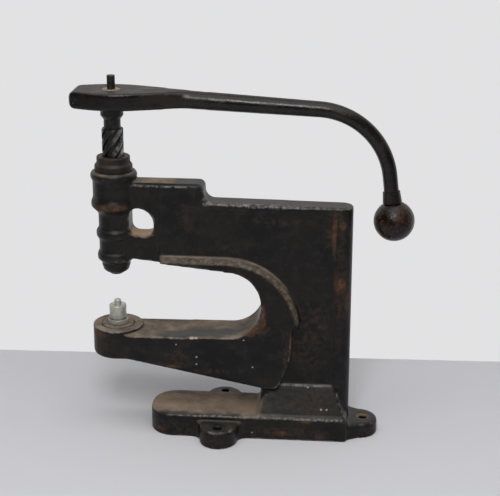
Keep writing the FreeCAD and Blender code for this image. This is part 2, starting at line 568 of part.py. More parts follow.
def make_web():
    body = padded("web", "XZ_Plane", web_corners(), "Sizes.web_thickness")
    rounded(body, "step_crest", "Sizes.step_crest_round", corner_at("-Sizes.arm_step", "Sizes.arm_top"))
    rounded(body, "step_foot", "Sizes.step_foot_round", corner_at("-Sizes.arm_step", "Sizes.column_top"))
    rounded(body, "roof_round", "Sizes.throat_roof_round",
            corner_at("Sizes.column_toe", "Sizes.roof_at_column"))
    heel, half = number("Sizes.column_heel"), number("Sizes.web_thickness / 2")
    rounded(body, "column_back", "Sizes.column_heel_round",
            lambda p: p.x > heel - number("Sizes.fit_gap") and near(abs(p.y), half))
    top, tip = number(HEEL_TOP + " - Sizes.fit_gap"), number(AXIS)
    return rounded(body, "rail_edges", "Sizes.rail_round",
                   lambda p: p.z > top and not near(p.x, tip) and on_rail_edge(p, heel, half))


def on_rail_edge(spot, heel, half):
    """Whether a point lies on the rim of the plate rather than across its top."""
    corner = number("Sizes.column_heel_round")
    if near(abs(spot.y), half) or near(spot.x, heel):
        return True
    reach = math.hypot(spot.x - (heel - corner), abs(spot.y) - (half - corner))
    return spot.x > heel - corner and near(reach, corner)


# Sunk panel in both sides of the plate; its lower part lies under the raised rim
PANEL_TOP = "(" + HEEL_TOP + " - Sizes.panel_border)"


def panel_corners():
    top = "(Sizes.column_top - Sizes.panel_border)"
    arm = "(Sizes.arm_top - Sizes.panel_border)"
    step = "-(Sizes.arm_step + Sizes.panel_border)"
    return [("-Sizes.panel_toe", arm), (step, arm), (step, top), ("Sizes.panel_heel", PANEL_TOP),
            ("Sizes.panel_heel", "Sizes.plinth_top"), ("Sizes.plinth_top_toe", "Sizes.plinth_top"),
            ("Sizes.plinth_top_toe", "Sizes.roof_at_column"), ("-Sizes.panel_toe", "Sizes.rim_tip_top")]


def make_panel(name, thickness):
    body = padded(name, "XZ_Plane", panel_corners(), thickness)
    arm = "(Sizes.arm_top - Sizes.panel_border)"
    top = "(Sizes.column_top - Sizes.panel_border)"
    step = "-(Sizes.arm_step + Sizes.panel_border)"
    corners = [("-Sizes.panel_toe", arm), (step, arm), (step, top), ("Sizes.panel_heel", PANEL_TOP),
               ("-Sizes.panel_toe", "Sizes.rim_tip_top")]
    for i, (first, second) in enumerate(corners):
        rounded(body, "%s_corner_%d" % (name, i), "Sizes.panel_round", corner_at(first, second))
    return body


# Lower arm and the raised rim round the throat: one wide plate
def make_lower_arm():
    corners = [("-Sizes.rim_tip", "Sizes.roof_at_screw - (Sizes.roof_at_screw - Sizes.roof_at_column)"
                " * (Sizes.reach_to_lugs - Sizes.rim_tip) / (Sizes.reach_to_lugs + Sizes.column_toe)"),
               ("-Sizes.rim_tip", "Sizes.rim_tip_top"), ("Sizes.rim_shoulder", "Sizes.rim_top"),
               ("Sizes.rim_heel", "Sizes.rim_waist"),
               ("Sizes.rim_heel - Sizes.rim_nape_draft", "Sizes.rim_waist - Sizes.rim_nape_drop"),
               ("Sizes.rim_belly_out", "Sizes.rim_belly_level"),
               ("Sizes.rim_foot", "Sizes.arm_heel_underside"),
               ("Sizes.column_toe", "Sizes.arm_heel_underside"),
               ("Sizes.tip_flat - Sizes.reach_to_lugs", "Sizes.tip_underside"),
               (AXIS, "Sizes.tip_underside"), (AXIS, "Sizes.floor_at_screw"),
               ("Sizes.column_toe", "Sizes.floor_at_column"), ("Sizes.column_toe", "Sizes.roof_at_column")]
    body = padded("lower_arm", "XZ_Plane", corners, "2 * Sizes.lower_arm_half")
    for name, radius, first, second in (
            ("rim_shoulder", "Sizes.rim_round", "Sizes.rim_shoulder", "Sizes.rim_top"),
            ("rim_belly", "Sizes.rim_belly_round", "Sizes.rim_belly_out", "Sizes.rim_belly_level"),
            ("rim_foot_corner", "Sizes.rim_foot_round", "Sizes.rim_foot", "Sizes.arm_heel_underside"),
            ("throat_roof", "Sizes.throat_roof_round", "Sizes.column_toe", "Sizes.roof_at_column"),
            ("throat_floor", "Sizes.throat_floor_round", "Sizes.column_toe", "Sizes.floor_at_column")):
        rounded(body, name, radius, corner_at(first, second))
    gap, half = number("Sizes.fit_gap"), number("Sizes.lower_arm_half")
    foot, toe = number("Sizes.tip_underside"), number("Sizes.column_toe")
    rounded(body, "arm_edges", "Sizes.arm_edge_round",
            lambda p: near(abs(p.y), half) and p.x < toe + gap and p.z < foot + gap)
    for side in ("-", ""):
        lean(body, side)
    # the bevel runs on from the back's straight piece along everything that is tangent to it
    back, waist = number("Sizes.rim_heel"), number("Sizes.rim_waist")
    run_in = number("Sizes.rim_shoulder_draft") / number("Sizes.rim_top - Sizes.rim_waist")
    inner = number("Sizes.rim_half_top - Sizes.overrun")
    rounded(body, "rim_bevel", "Sizes.rim_bevel",
            lambda p: p.z > waist - gap and abs(p.y) > inner and near(p.x, back - run_in * (p.z - waist)),
            "PartDesign::Chamfer")
    return body


def lean(body, side):
    """Cut away a wedge so that the rim gets thinner towards its crown."""
    half, tip = side + "Sizes.lower_arm_half", side + "Sizes.rim_half_top"
    out = side + "(Sizes.lower_arm_half + Sizes.overrun)"
    high = "(Sizes.rim_top + Sizes.overrun)"
    name = "lean_front" if side else "lean_back"
    sketch = outline(body, "YZ_Plane", [(half, "Sizes.rim_waist"), (out, "Sizes.rim_waist"),
                                        (out, high), (tip, high)], name + "_outline")
    pocket = body.newObject("PartDesign::Pocket", name)
    pocket.Profile = sketch
    pocket.SideType = "Symmetric"
    bind(pocket, Length="4 * Sizes.reach_to_lugs")
    doc.recompute()


# Round end of the lower arm, and the boss on it
def make_arm_tip():
    high, low = "Sizes.floor_at_screw", "Sizes.tip_underside"
    radius = "(Sizes.lower_arm_half + Sizes.tip_proud)"
    body = turned("arm_tip", [("0", low), (radius, low), (radius, high), ("0", high)])
    level = number(low)
    rounded(body, "tip_edge", "Sizes.arm_edge_round", lambda p: near(p.z, level))
    boss = turned("boss", [("0", low), (SEAT_CORE, low), (SEAT_CORE, high), (radius, high),
                           (radius, "Sizes.boss_height - Sizes.boss_bevel"),
                           (radius + " - Sizes.boss_bevel", "Sizes.boss_height"), ("0", "Sizes.boss_height")])
    return joined("tip_with_boss", body, boss)


SEAT_CORE = "(Sizes.seat_ring_radius + Sizes.free_gap)"


# Barrel: turned outline with four rings and the round end cup
def make_barrel():
    upper, lower = "Sizes.barrel_upper_radius", "Sizes.barrel_lower_radius"
    bulge = "Sizes.mouth_radius + (Sizes.mouth_cup_radius - Sizes.mouth_radius) * Sizes.cup_bulge_out"
    corners = [("0", "Sizes.mouth_level"), ("Sizes.mouth_radius", "Sizes.mouth_level"),
               (bulge, "Sizes.mouth_level + Sizes.mouth_depth * Sizes.cup_bulge_up"),
               ("Sizes.mouth_cup_radius", "Sizes.mouth_cup_level"),
               ("Sizes.mouth_cup_radius", "Sizes.mouth_ring_level - Sizes.mouth_ring_rise"),
               ("Sizes.mouth_ring_radius", "Sizes.mouth_ring_level - Sizes.mouth_ring_rise / 2"),
               ("Sizes.mouth_ring_radius", "Sizes.mouth_ring_level + Sizes.mouth_ring_rise / 2"),
               (lower, "Sizes.mouth_ring_level + Sizes.mouth_ring_rise"),
               (lower, "Sizes.ring_level - Sizes.ring_rise"),
               ("Sizes.ring_radius", "Sizes.ring_level - Sizes.ring_rise / 2"),
               ("Sizes.ring_radius", "Sizes.ring_level + Sizes.ring_rise / 2"),
               (lower, "Sizes.ring_level + Sizes.ring_rise"),
               (lower, "Sizes.shoulder_foot"),
               ("Sizes.shoulder_radius", "Sizes.shoulder_level - Sizes.shoulder_rise / 2"),
               ("Sizes.shoulder_radius", "Sizes.shoulder_level + Sizes.shoulder_rise / 3"),
               (upper, "Sizes.shoulder_level + Sizes.shoulder_rise"),
               (upper, "Sizes.barrel_top - Sizes.collar_height"),
               ("Sizes.collar_radius", "Sizes.barrel_top - Sizes.collar_height * 2 / 3"),
               ("Sizes.collar_radius", "Sizes.barrel_top - Sizes.collar_height / 3"),
               ("Sizes.barrel_rim_radius", "Sizes.barrel_top"), ("0", "Sizes.barrel_top")]
    body = turned("barrel", corners)
    lowest, highest = number("Sizes.mouth_level"), number("Sizes.barrel_top")
    return rounded(body, "ring_edges", "Sizes.ring_edge_round * 0.6",
                   lambda p: lowest < p.z < highest
                   and math.hypot(p.x, p.y) > number("Sizes.ring_edge_round"))


# Window between the barrel and the web
def make_window():
    corners = [("-Sizes.window_toe", "Sizes.window_sill"), ("-Sizes.window_heel", "Sizes.window_sill"),
               ("-Sizes.window_heel", "Sizes.window_head"), ("-Sizes.window_toe", "Sizes.window_head")]
    body = padded("window", "XZ_Plane", corners, "2 * Sizes.lower_arm_half")
    for i, (first, second) in enumerate(corners):
        arch = i == 2
        rounded(body, "window_corner_%d" % i, "Sizes.window_arch" if arch else "Sizes.window_round",
                corner_at(first, second))
    return body


def make_frame():
    web = make_web()
    recessed = cut("web_with_rail", web, make_panel("panel_space", "Sizes.web_thickness + Sizes.overrun"))
    core = make_panel("panel_core", "Sizes.web_thickness - 2 * Sizes.panel_depth")
    plate = cut("web_with_window", joined("web_panelled", recessed, core), make_window())
    body = joined("casting", make_base(), make_side_lugs(), make_heel_lug(), make_plinth(), plate,
                  make_lower_arm(), make_arm_tip(), make_barrel())
    tools = [
        # barrel: seat of the bush, bore of the ram's head, bore of the stem
        cylinder("bush_seat", "Sizes.bush_seat_radius + Sizes.fit_gap",
                 "Sizes.barrel_top - Sizes.bush_foot + Sizes.overrun", AXIS, up="Sizes.bush_foot"),
        cylinder("ram_bore", "Sizes.ram_bore_radius",
                 "Sizes.bush_foot - Sizes.ram_bore_floor + Sizes.overrun",
                 AXIS, up="Sizes.ram_bore_floor"),
        cylinder("stem_bore", "Sizes.ram_stem_radius + Sizes.run_gap",
                 "Sizes.ram_bore_floor - Sizes.mouth_level + 2 * Sizes.overrun", AXIS,
                 up="Sizes.mouth_level - Sizes.overrun"),
        aim(cylinder("lock_screw_hole", "Sizes.lock_screw_radius + Sizes.fit_gap",
                     "Sizes.collar_radius + Sizes.overrun", AXIS, up="Sizes.lock_screw_level"), (0, 1, 0)),
        aim(cylinder("guide_screw_hole", "Sizes.guide_screw_radius + Sizes.fit_gap",
                     "Sizes.mouth_ring_radius + Sizes.overrun", AXIS, up="Sizes.guide_screw_level"),
            (0, -1, 0), number("Sizes.guide_turn")),
        # lower arm: seat, shank and set screw of the lower die
        cylinder("seat_hole", SEAT_CORE, "Sizes.seat_ring_depth + Sizes.overrun", AXIS, up=SEAT_FLOOR),
        cylinder("shank_hole", "Sizes.anvil_shank_radius + Sizes.fit_gap", "Sizes.boss_height", AXIS),
        aim(cylinder("anvil_screw_hole", "Sizes.anvil_screw_radius + Sizes.fit_gap",
                     "Sizes.lower_arm_half + Sizes.overrun", AXIS,
                     up="Sizes.boss_height - Sizes.anvil_screw_drop"), (0, 1, 0)),
        # mounting holes, the heel's with a bevelled mouth
        cylinder("front_lug_hole", "Sizes.screw_hole_bore / 2", "Sizes.base_height",
                 along="-Sizes.lug_hole_out"),
        cylinder("rear_lug_hole", "Sizes.screw_hole_bore / 2", "Sizes.base_height",
                 along="Sizes.lug_hole_out"),
        cylinder("heel_lug_hole", "Sizes.screw_hole_bore / 2", "Sizes.base_height", "Sizes.tongue_hole_out"),
    ]
    bevel = doc.addObject("Part::Cone", "heel_hole_mouth")
    depth = "(Sizes.screw_hole_mouth - Sizes.screw_hole_bore) / 2"
    bind(bevel, Radius1="Sizes.screw_hole_bore / 2", Radius2="Sizes.screw_hole_mouth / 2", Height=depth)
    place(bevel, "Sizes.tongue_hole_out", up="Sizes.tongue_height - " + depth)
    return cut("frame", body, *tools, bevel)


# Sunk slot across the outer end of a headless screw that was made along Z
def slot_tool(name, radius, length):
    slot = doc.addObject("Part::Box", name)
    bind(slot, Length="2 * " + radius, Width="Sizes.driver_slot_width",
         Height="Sizes.driver_slot_depth + Sizes.overrun")
    return place(slot, "-" + radius, "-Sizes.driver_slot_width / 2", length + " - Sizes.driver_slot_depth")


def grub_screw(name, radius, length, start, up, direction, turn=0.0, dog=None):
    """A slotted screw without a head, from a distance off the screw axis outwards."""
    shank = doc.addObject("Part::Cylinder", name + "_shank")
    bind(shank, Radius=radius, Height=length)
    pieces = shank
    if dog:
        tip = doc.addObject("Part::Cylinder", name + "_dog")
        bind(tip, Radius="Sizes.guide_dog_radius", Height=dog + " + Sizes.overrun")
        place(tip, up="-" + dog)
        pieces = joined(name + "_blank", shank, tip)
    screw = cut(name, pieces, slot_tool(name + "_slot", radius, length))
    way = Rotation(Vector(0, 0, 1), turn).multVec(Vector(*direction))
    aim(screw, direction, turn)
    screw.setExpression("Placement.Base.x", "(%s + (%s) * %.9f) * 1 mm" % (AXIS, start, way.x))
    screw.setExpression("Placement.Base.y", "(%s) * %.9f * 1 mm" % (start, way.y))
    screw.setExpression("Placement.Base.z", "(%s) * 1 mm" % up)
    return screw


# Nut bush: shouldered bush with a running bore
def make_nut_bush():
    bore = "Sizes.thread_radius + Sizes.run_gap"
    corners = [(bore, "Sizes.bush_foot"), ("Sizes.bush_seat_radius", "Sizes.bush_foot"),
               ("Sizes.bush_seat_radius", "Sizes.barrel_top"),
               ("Sizes.bush_shoulder_radius", "Sizes.barrel_top"),
               ("Sizes.bush_shoulder_radius", "Sizes.bush_shoulder_level"),
               ("Sizes.bush_rim_radius", "Sizes.bush_neck_level"),
               ("Sizes.bush_rim_radius", "Sizes.bush_top - Sizes.edge_bevel"),
               ("Sizes.bush_rim_radius - Sizes.edge_bevel", "Sizes.bush_top"),
               (bore + " + Sizes.edge_bevel", "Sizes.bush_top"),
               (bore, "Sizes.bush_top - Sizes.edge_bevel")]
    body = turned("bush_blank", corners)
    bite = aim(cylinder("lock_bite", "Sizes.lock_screw_radius + Sizes.fit_gap", "Sizes.collar_radius", AXIS,
                        "Sizes.bush_seat_radius - Sizes.lock_screw_bite", "Sizes.lock_screw_level"), (0, 1, 0))
    return cut("nut_bush", body, bite)


def make_grooves():
    """The screw's grooves: a four sided section that turns as it rises, once for each start."""
    lead, starts = number("Sizes.thread_lead"), int(number("Sizes.thread_starts"))
    low = number("Sizes.thread_foot - Sizes.overrun")
    rise = number("Sizes.thread_head + Sizes.overrun") - low
    root, mouth = number("Sizes.thread_root"), number("Sizes.thread_radius + Sizes.edge_bevel")
    wide, slim = (math.pi * number(size) / lead for size in ("Sizes.groove_mouth", "Sizes.groove_floor"))
    spots = [Vector(r * math.cos(a), r * math.sin(a), low)
             for r, a in ((root, -slim), (mouth, -wide), (mouth, wide), (root, slim))]
    spine = Part.Wire([Part.makeLine(Vector(0, 0, low), Vector(0, 0, low + rise))])
    guide = Part.makeHelix(lead, rise, mouth)
    guide.translate(Vector(0, 0, low))
    shell = Part.BRepOffsetAPI.MakePipeShell(spine)
    shell.setAuxiliarySpine(Part.Wire(guide.Edges), True, 0)
    shell.add(Part.makePolygon(spots + spots[:1]))
    shell.build()
    shell.makeSolid()
    grooves = []
    for i in range(starts):
        groove = shell.shape().copy()
        groove.rotate(Vector(0, 0, 0), Vector(0, 0, 1), 360 * i / starts)
        grooves.append(groove)
    tools = doc.addObject("Part::Feature", "grooves")
    tools.Shape = Part.makeCompound(grooves)
    return place(tools, AXIS)


# Screw spindle: journal, thread, neck, collar, and the tenon that carries the lever
def make_spindle():
    crest, bevel = "Sizes.thread_radius", "Sizes.edge_bevel"
    groove_low = "Sizes.retainer_level - Sizes.retainer_radius - Sizes.free_gap"
    groove_high = "Sizes.retainer_level + Sizes.retainer_radius + Sizes.free_gap"
    groove_radius = "Sizes.journal_radius - Sizes.retainer_radius - Sizes.free_gap"
    corners = [("0", "Sizes.journal_foot"), ("Sizes.journal_radius - " + bevel, "Sizes.journal_foot"),
               ("Sizes.journal_radius", "Sizes.journal_foot + " + bevel),
               ("Sizes.journal_radius", groove_low), (groove_radius, groove_low),
               (groove_radius, groove_high), ("Sizes.journal_radius", groove_high),
               ("Sizes.journal_radius", "Sizes.thread_foot"), (crest + " - " + bevel, "Sizes.thread_foot"),
               (crest, "Sizes.thread_foot + " + bevel), (crest, "Sizes.thread_head - " + bevel),
               (crest + " - " + bevel, "Sizes.thread_head"), ("Sizes.neck_radius", "Sizes.thread_head"),
               ("Sizes.neck_radius", "Sizes.neck_level"), ("Sizes.seat_radius", "Sizes.seat_level"),
               ("Sizes.seat_radius", "Sizes.head_seat"), ("Sizes.tenon_radius", "Sizes.head_seat"),
               ("Sizes.tenon_radius", "Sizes.tenon_top - " + bevel),
               ("Sizes.tenon_radius - " + bevel, "Sizes.tenon_top"), ("0", "Sizes.tenon_top")]
    body = turned("spindle_blank", corners)
    stud_hole = cylinder("stud_hole", "Sizes.stud_radius + Sizes.fit_gap", "Sizes.stud_depth + Sizes.overrun",
                         AXIS, up="Sizes.tenon_top - Sizes.stud_depth")
    grooved = cut("spindle_grooved", body, make_grooves())
    return cut("spindle", grooved, stud_hole, key_box("key_seat", "Sizes.fit_gap"))


def key_box(name, gap):
    """The key's own block, grown on every side by a gap."""
    block = doc.addObject("Part::Box", name)
    bind(block, Length="Sizes.key_sunk + Sizes.key_proud + 2 * " + gap,
         Width="Sizes.key_width + 2 * " + gap, Height="Sizes.key_length + 2 * " + gap)
    return place(block, AXIS + " + Sizes.tenon_radius - Sizes.key_sunk - " + gap,
                 "-Sizes.key_width / 2 - " + gap,
                 "(Sizes.head_seat + Sizes.tenon_top - Sizes.key_length) / 2 - " + gap)


# Lever: flat forged head, tapered rod, long bend, and the tenon for the knob
def bend_centre():
    droop = math.radians(number("Sizes.rod_droop"))
    radius = number("Sizes.bend_radius")
    start = Vector(number(AXIS + " + Sizes.bend_start"), 0, rod_height(number("Sizes.bend_start")))
    return start + Vector(-math.sin(droop), 0, -math.cos(droop)) * radius


def rod_height(distance):
    """Height of the straight rod's axis at a distance behind the screw axis."""
    drop = math.tan(math.radians(number("Sizes.rod_droop")))
    return number("Sizes.rod_level") - drop * (distance - number("Sizes.rod_start"))


def bend_point(lean):
    """Point of the bend's centre line where the rod leans outwards by an angle from straight down."""
    angle = math.radians(lean)
    return bend_centre() + Vector(math.cos(angle), 0, math.sin(angle)) * number("Sizes.bend_radius")


def end_point(distance):
    """Point on the rod's straight end, a distance past the bend."""
    lean = number("Sizes.bend_end_lean")
    angle = math.radians(lean)
    return bend_point(lean) + Vector(math.sin(angle), 0, -math.cos(angle)) * distance


def along_end(thing, distance):
    """Stand a piece that was made along Z on the rod's straight end."""
    lean = number("Sizes.bend_end_lean")
    thing.Placement = Placement(end_point(distance), Rotation(Vector(0, 1, 0), 180 - lean))
    return thing


def make_lever():
    tail, nose = AXIS + " - Sizes.head_tail", AXIS + " + Sizes.head_nose"
    side, slim, end = "Sizes.head_half_width", "Sizes.tail_half_width", "Sizes.nose_half_width"
    corners = [(tail, "-" + slim), (AXIS, "-" + side), (nose, "-" + end),
               (nose, end), (AXIS, side), (tail, slim)]
    head = doc.addObject("PartDesign::Body", "head")
    sketch = outline(head, "XY_Plane", corners, "head_outline")
    pad = head.newObject("PartDesign::Pad", "head_pad")
    pad.Profile = sketch
    bind(pad, Length="Sizes.head_top - Sizes.head_seat")
    place(head, up="Sizes.head_seat")
    doc.recompute()
    axis_x, half, back = number(AXIS), number(side), number(tail)
    rounded(head, "head_sides", "Sizes.head_side_round", lambda p: near(p.x, axis_x) and near(abs(p.y), half))
    rounded(head, "tail_corners", "Sizes.tail_corner_round", lambda p: near(p.x, back))
    front = number(nose)
    top = number("Sizes.head_top - Sizes.head_seat")
    rounded(head, "head_edges", "Sizes.head_edge_round",
            lambda p: (near(p.z, top) or near(p.z, 0)) and not near(p.x, front))

    rod = doc.addObject("Part::Cone", "rod")
    length = "(Sizes.bend_start - Sizes.rod_start) / cos(Sizes.rod_droop)"
    bind(rod, Radius1="Sizes.rod_root_radius", Radius2="Sizes.rod_bend_radius", Height=length)
    rod.Placement = Placement(Vector(number(AXIS + " + Sizes.rod_start"), 0, number("Sizes.rod_level")),
                              Rotation(Vector(0, 1, 0), 90 + number("Sizes.rod_droop")))
    swell = doc.addObject("Part::Cone", "swell")
    bind(swell, Radius1="Sizes.swell_radius", Radius2="Sizes.rod_root_radius",
         Height="(Sizes.rod_start - Sizes.swell_start) / cos(Sizes.rod_droop)")
    swell.Placement = Placement(Vector(number(AXIS + " + Sizes.swell_start"), 0,
                                       rod_height(number("Sizes.swell_start"))), rod.Placement.Rotation)

    run = doc.addObject("Part::Cylinder", "end_run")
    bind(run, Radius="Sizes.rod_end_radius", Height="Sizes.end_run")
    along_end(run, 0)
    tenon = doc.addObject("Part::Cylinder", "knob_tenon")
    bind(tenon, Radius="Sizes.knob_tenon_radius",
         Height="Sizes.end_run + Sizes.knob_collar_length + Sizes.knob_tenon_depth")
    along_end(tenon, 0)

    body = joined("lever_blank", head, swell, rod, make_bend(), run, tenon)
    eye = cylinder("eye", "Sizes.tenon_radius + Sizes.fit_gap", "Sizes.head_top", AXIS)
    mouth = doc.addObject("Part::Cone", "eye_mouth")
    bind(mouth, Radius1="Sizes.tenon_radius", Radius2="Sizes.tenon_radius + 2 * Sizes.mouth_bevel",
         Height="2 * Sizes.mouth_bevel")
    place(mouth, AXIS, up="Sizes.head_top - Sizes.mouth_bevel")
    pin_hole = aim(cylinder("pin_hole", "Sizes.cross_pin_radius + Sizes.fit_gap", "4 * Sizes.head_half_width",
                            AXIS + " - Sizes.cross_pin_out", "-2 * Sizes.head_half_width",
                            "Sizes.cross_pin_level"), (0, 1, 0))
    return cut("lever", body, eye, mouth, pin_hole, key_box("key_way", "Sizes.fit_gap"))


def make_bend():
    """The bend: a pipe whose radius shrinks evenly along an arc."""
    droop, lean = number("Sizes.rod_droop"), number("Sizes.bend_end_lean")
    start = bend_point(90 - droop)
    end = bend_point(lean)
    middle = bend_point((90 - droop + lean) / 2)
    path = Part.Wire([Part.Arc(start, middle, end).toShape()])
    shell = Part.BRepOffsetAPI.MakePipeShell(path)
    shell.setFrenetMode(False)
    first_way = Vector(math.cos(math.radians(droop)), 0, -math.sin(math.radians(droop)))
    last_way = Vector(math.sin(math.radians(lean)), 0, -math.cos(math.radians(lean)))
    for spot, way, radius in ((start, first_way, "Sizes.rod_bend_radius"),
                              (end, last_way, "Sizes.rod_end_radius")):
        shell.add(Part.Wire([Part.makeCircle(number(radius), spot, way)]))
    shell.build()
    shell.makeSolid()
    bend = doc.addObject("Part::Feature", "bend")
    bend.Shape = shell.shape()
    return bend


# Collar and ball at the lever's end
def make_knob_collar():
    ring = doc.addObject("Part::Cone", "knob_collar_blank")
    bind(ring, Radius1="Sizes.knob_collar_top", Radius2="Sizes.knob_collar_foot",
         Height="Sizes.knob_collar_length")
    hole = doc.addObject("Part::Cylinder", "knob_collar_hole")
    bind(hole, Radius="Sizes.knob_tenon_radius + Sizes.fit_gap", Height="Sizes.knob_collar_length")
    return along_end(cut("knob_collar", ring, hole), number("Sizes.end_run"))


def make_ball_knob():
    ball = doc.addObject("Part::Sphere", "ball_blank")
    bind(ball, Radius="Sizes.knob_radius")
    place(ball, up="Sizes.knob_radius - Sizes.knob_flat")
    flat = doc.addObject("Part::Box", "ball_flat")
    bind(flat, Length="2 * Sizes.knob_radius", Width="2 * Sizes.knob_radius", Height="Sizes.knob_radius")
    place(flat, "-Sizes.knob_radius", "-Sizes.knob_radius", "-Sizes.knob_radius")
    hole = doc.addObject("Part::Cylinder", "ball_hole")
    bind(hole, Radius="Sizes.knob_tenon_radius + Sizes.fit_gap",
         Height="Sizes.knob_tenon_depth + Sizes.free_gap")
    return along_end(cut("ball_knob", ball, flat, hole), number("Sizes.end_run + Sizes.knob_collar_length"))


# Small pieces of the lever: key, stud on top, and the pin across the tail
def make_lever_key():
    return key_box("lever_key", "0")


def make_top_stud():
    low = "Sizes.tenon_top - Sizes.stud_depth"
    radius, bevel = "Sizes.stud_radius", "Sizes.edge_bevel"
    return turned("top_stud", [("0", low), (radius, low), (radius, "Sizes.stud_top - " + bevel),
                               (radius + " - " + bevel, "Sizes.stud_top"), ("0", "Sizes.stud_top")])


def make_cross_pin():
    slope = "(Sizes.head_half_width - Sizes.tail_half_width) / Sizes.head_tail"
    half = "(Sizes.tail_half_width + %s * (Sizes.head_tail - Sizes.cross_pin_out) - Sizes.edge_bevel)" % slope
    pin = cylinder("head_cross_pin", "Sizes.cross_pin_radius", "2 * " + half, AXIS + " - Sizes.cross_pin_out",
                   "-" + half, "Sizes.cross_pin_level")
    return aim(pin, (0, 1, 0))


# Ram: round head that holds the spindle's journal, and a stem with a keyway
def make_ram():
    button_floor = "(Sizes.journal_foot - Sizes.button_thickness)"
    socket = "Sizes.journal_radius + Sizes.run_gap"
    head = "Sizes.ram_bore_radius - Sizes.run_gap"
    corners = [("0", "Sizes.ram_foot"), ("Sizes.ram_stem_radius", "Sizes.ram_foot"),
               ("Sizes.ram_stem_radius", "Sizes.ram_head_foot"), (head, "Sizes.ram_head_foot"),
               (head, "Sizes.ram_head_top"), (socket, "Sizes.ram_head_top"),
               (socket, button_floor), ("0", button_floor)]
    body = turned("ram_blank", corners)
    keyway = doc.addObject("Part::Box", "keyway")
    bind(keyway, Length="2 * (Sizes.guide_dog_radius + Sizes.free_gap)", Width="2 * Sizes.keyway_depth",
         Height="Sizes.travel + 2 * (Sizes.guide_dog_radius + Sizes.free_gap)")
    turn = Rotation(Vector(0, 0, 1), number("Sizes.guide_turn"))
    corner = Vector(-number("Sizes.guide_dog_radius + Sizes.free_gap"),
                    -number("Sizes.ram_stem_radius + Sizes.keyway_depth"),
                    number("Sizes.guide_screw_level - Sizes.guide_dog_radius - Sizes.free_gap"))
    keyway.Placement = Placement(Vector(number(AXIS), 0, 0) + turn.multVec(corner), turn)
    tools = [keyway,
             cylinder("die_shank_hole", "Sizes.die_shank_radius + Sizes.fit_gap",
                      "Sizes.die_shank_length + Sizes.free_gap + Sizes.overrun", AXIS,
                      up="Sizes.ram_foot - Sizes.overrun"),
             aim(cylinder("die_screw_hole", "Sizes.die_screw_radius + Sizes.fit_gap",
                          "Sizes.ram_stem_radius + Sizes.overrun", AXIS, up="Sizes.die_screw_level"),
                 (0, 1, 0))]
    for side in ("-", "+"):
        tools.append(retainer("retainer_hole", side, "Sizes.fit_gap",
                              "(Sizes.ram_bore_radius + Sizes.overrun)"))
    return cut("ram", body, *tools)


def retainer(name, side, gap, reach):
    """One retaining pin, or its hole when it is grown by a gap."""
    pin = cylinder(name, "Sizes.retainer_radius + " + gap, "2 * " + reach,
                   "%s %s Sizes.journal_radius" % (AXIS, side), "-" + reach, "Sizes.retainer_level")
    return aim(pin, (0, 1, 0))


def make_retaining_pins():
    group = doc.addObject("Part::Compound", "ram_retaining_pins")
    reach = "(Sizes.ram_bore_radius - Sizes.journal_radius / 2 - Sizes.free_gap)"
    group.Links = [retainer("retainer", side, "0", reach) for side in ("-", "+")]
    return group


def make_thrust_button():
    return cylinder("thrust_button", "Sizes.journal_radius - Sizes.fit_gap",
                    "Sizes.button_thickness - Sizes.fit_gap", AXIS,
                    up="Sizes.journal_foot - Sizes.button_thickness")


# Upper die: face with a cup for the rivet, and a shank in the ram
def make_upper_die():
    bevel = "Sizes.edge_bevel"
    corners = [("Sizes.die_cup_radius", "Sizes.die_face"),
               ("Sizes.ram_stem_radius - " + bevel, "Sizes.die_face"),
               ("Sizes.ram_stem_radius", "Sizes.die_face + " + bevel),
               ("Sizes.ram_stem_radius", "Sizes.ram_foot"),
               ("Sizes.die_shank_radius", "Sizes.ram_foot"),
               ("Sizes.die_shank_radius", "Sizes.ram_foot + Sizes.die_shank_length"),
               ("0", "Sizes.ram_foot + Sizes.die_shank_length"),
               ("0", "Sizes.die_face + Sizes.die_cup_depth"),
               ("Sizes.die_cup_radius - " + bevel, "Sizes.die_face + Sizes.die_cup_depth")]
    return turned("upper_die", corners)


# Lower die: seat in the boss, die with flange and shank, pilot pin, spring and plug
def make_anvil_seat():
    bevel = "Sizes.edge_bevel"
    inner, outer = "Sizes.anvil_shank_radius + Sizes.fit_gap", "Sizes.seat_ring_radius"
    return turned("anvil_seat", [(inner, SEAT_FLOOR), (outer, SEAT_FLOOR),
                                 (outer, "Sizes.boss_height - " + bevel),
                                 (outer + " - " + bevel, "Sizes.boss_height"), (inner, "Sizes.boss_height")])


CHAMBER = "(Sizes.pilot_shoulder_radius + Sizes.run_gap)"
SHANK_FOOT = "(Sizes.boss_height - Sizes.anvil_shank_length)"


def make_anvil():
    bevel = "Sizes.edge_bevel"
    bore = "Sizes.pilot_radius + Sizes.run_gap"
    flange_top = "Sizes.boss_height + Sizes.anvil_flange_height"
    corners = [(CHAMBER, SHANK_FOOT), ("Sizes.anvil_shank_radius", SHANK_FOOT),
               ("Sizes.anvil_shank_radius", "Sizes.boss_height"),
               ("Sizes.anvil_flange_radius - " + bevel, "Sizes.boss_height"),
               ("Sizes.anvil_flange_radius", "Sizes.boss_height + " + bevel),
               ("Sizes.anvil_flange_radius", flange_top + " - " + bevel),
               ("Sizes.anvil_flange_radius - " + bevel, flange_top), ("Sizes.anvil_radius", flange_top),
               ("Sizes.anvil_radius", "Sizes.anvil_top - " + bevel),
               ("Sizes.anvil_radius - " + bevel, "Sizes.anvil_top"), (bore, "Sizes.anvil_top"),
               (bore, "Sizes.pilot_stop"), (CHAMBER, "Sizes.pilot_stop")]
    return turned("anvil", corners)


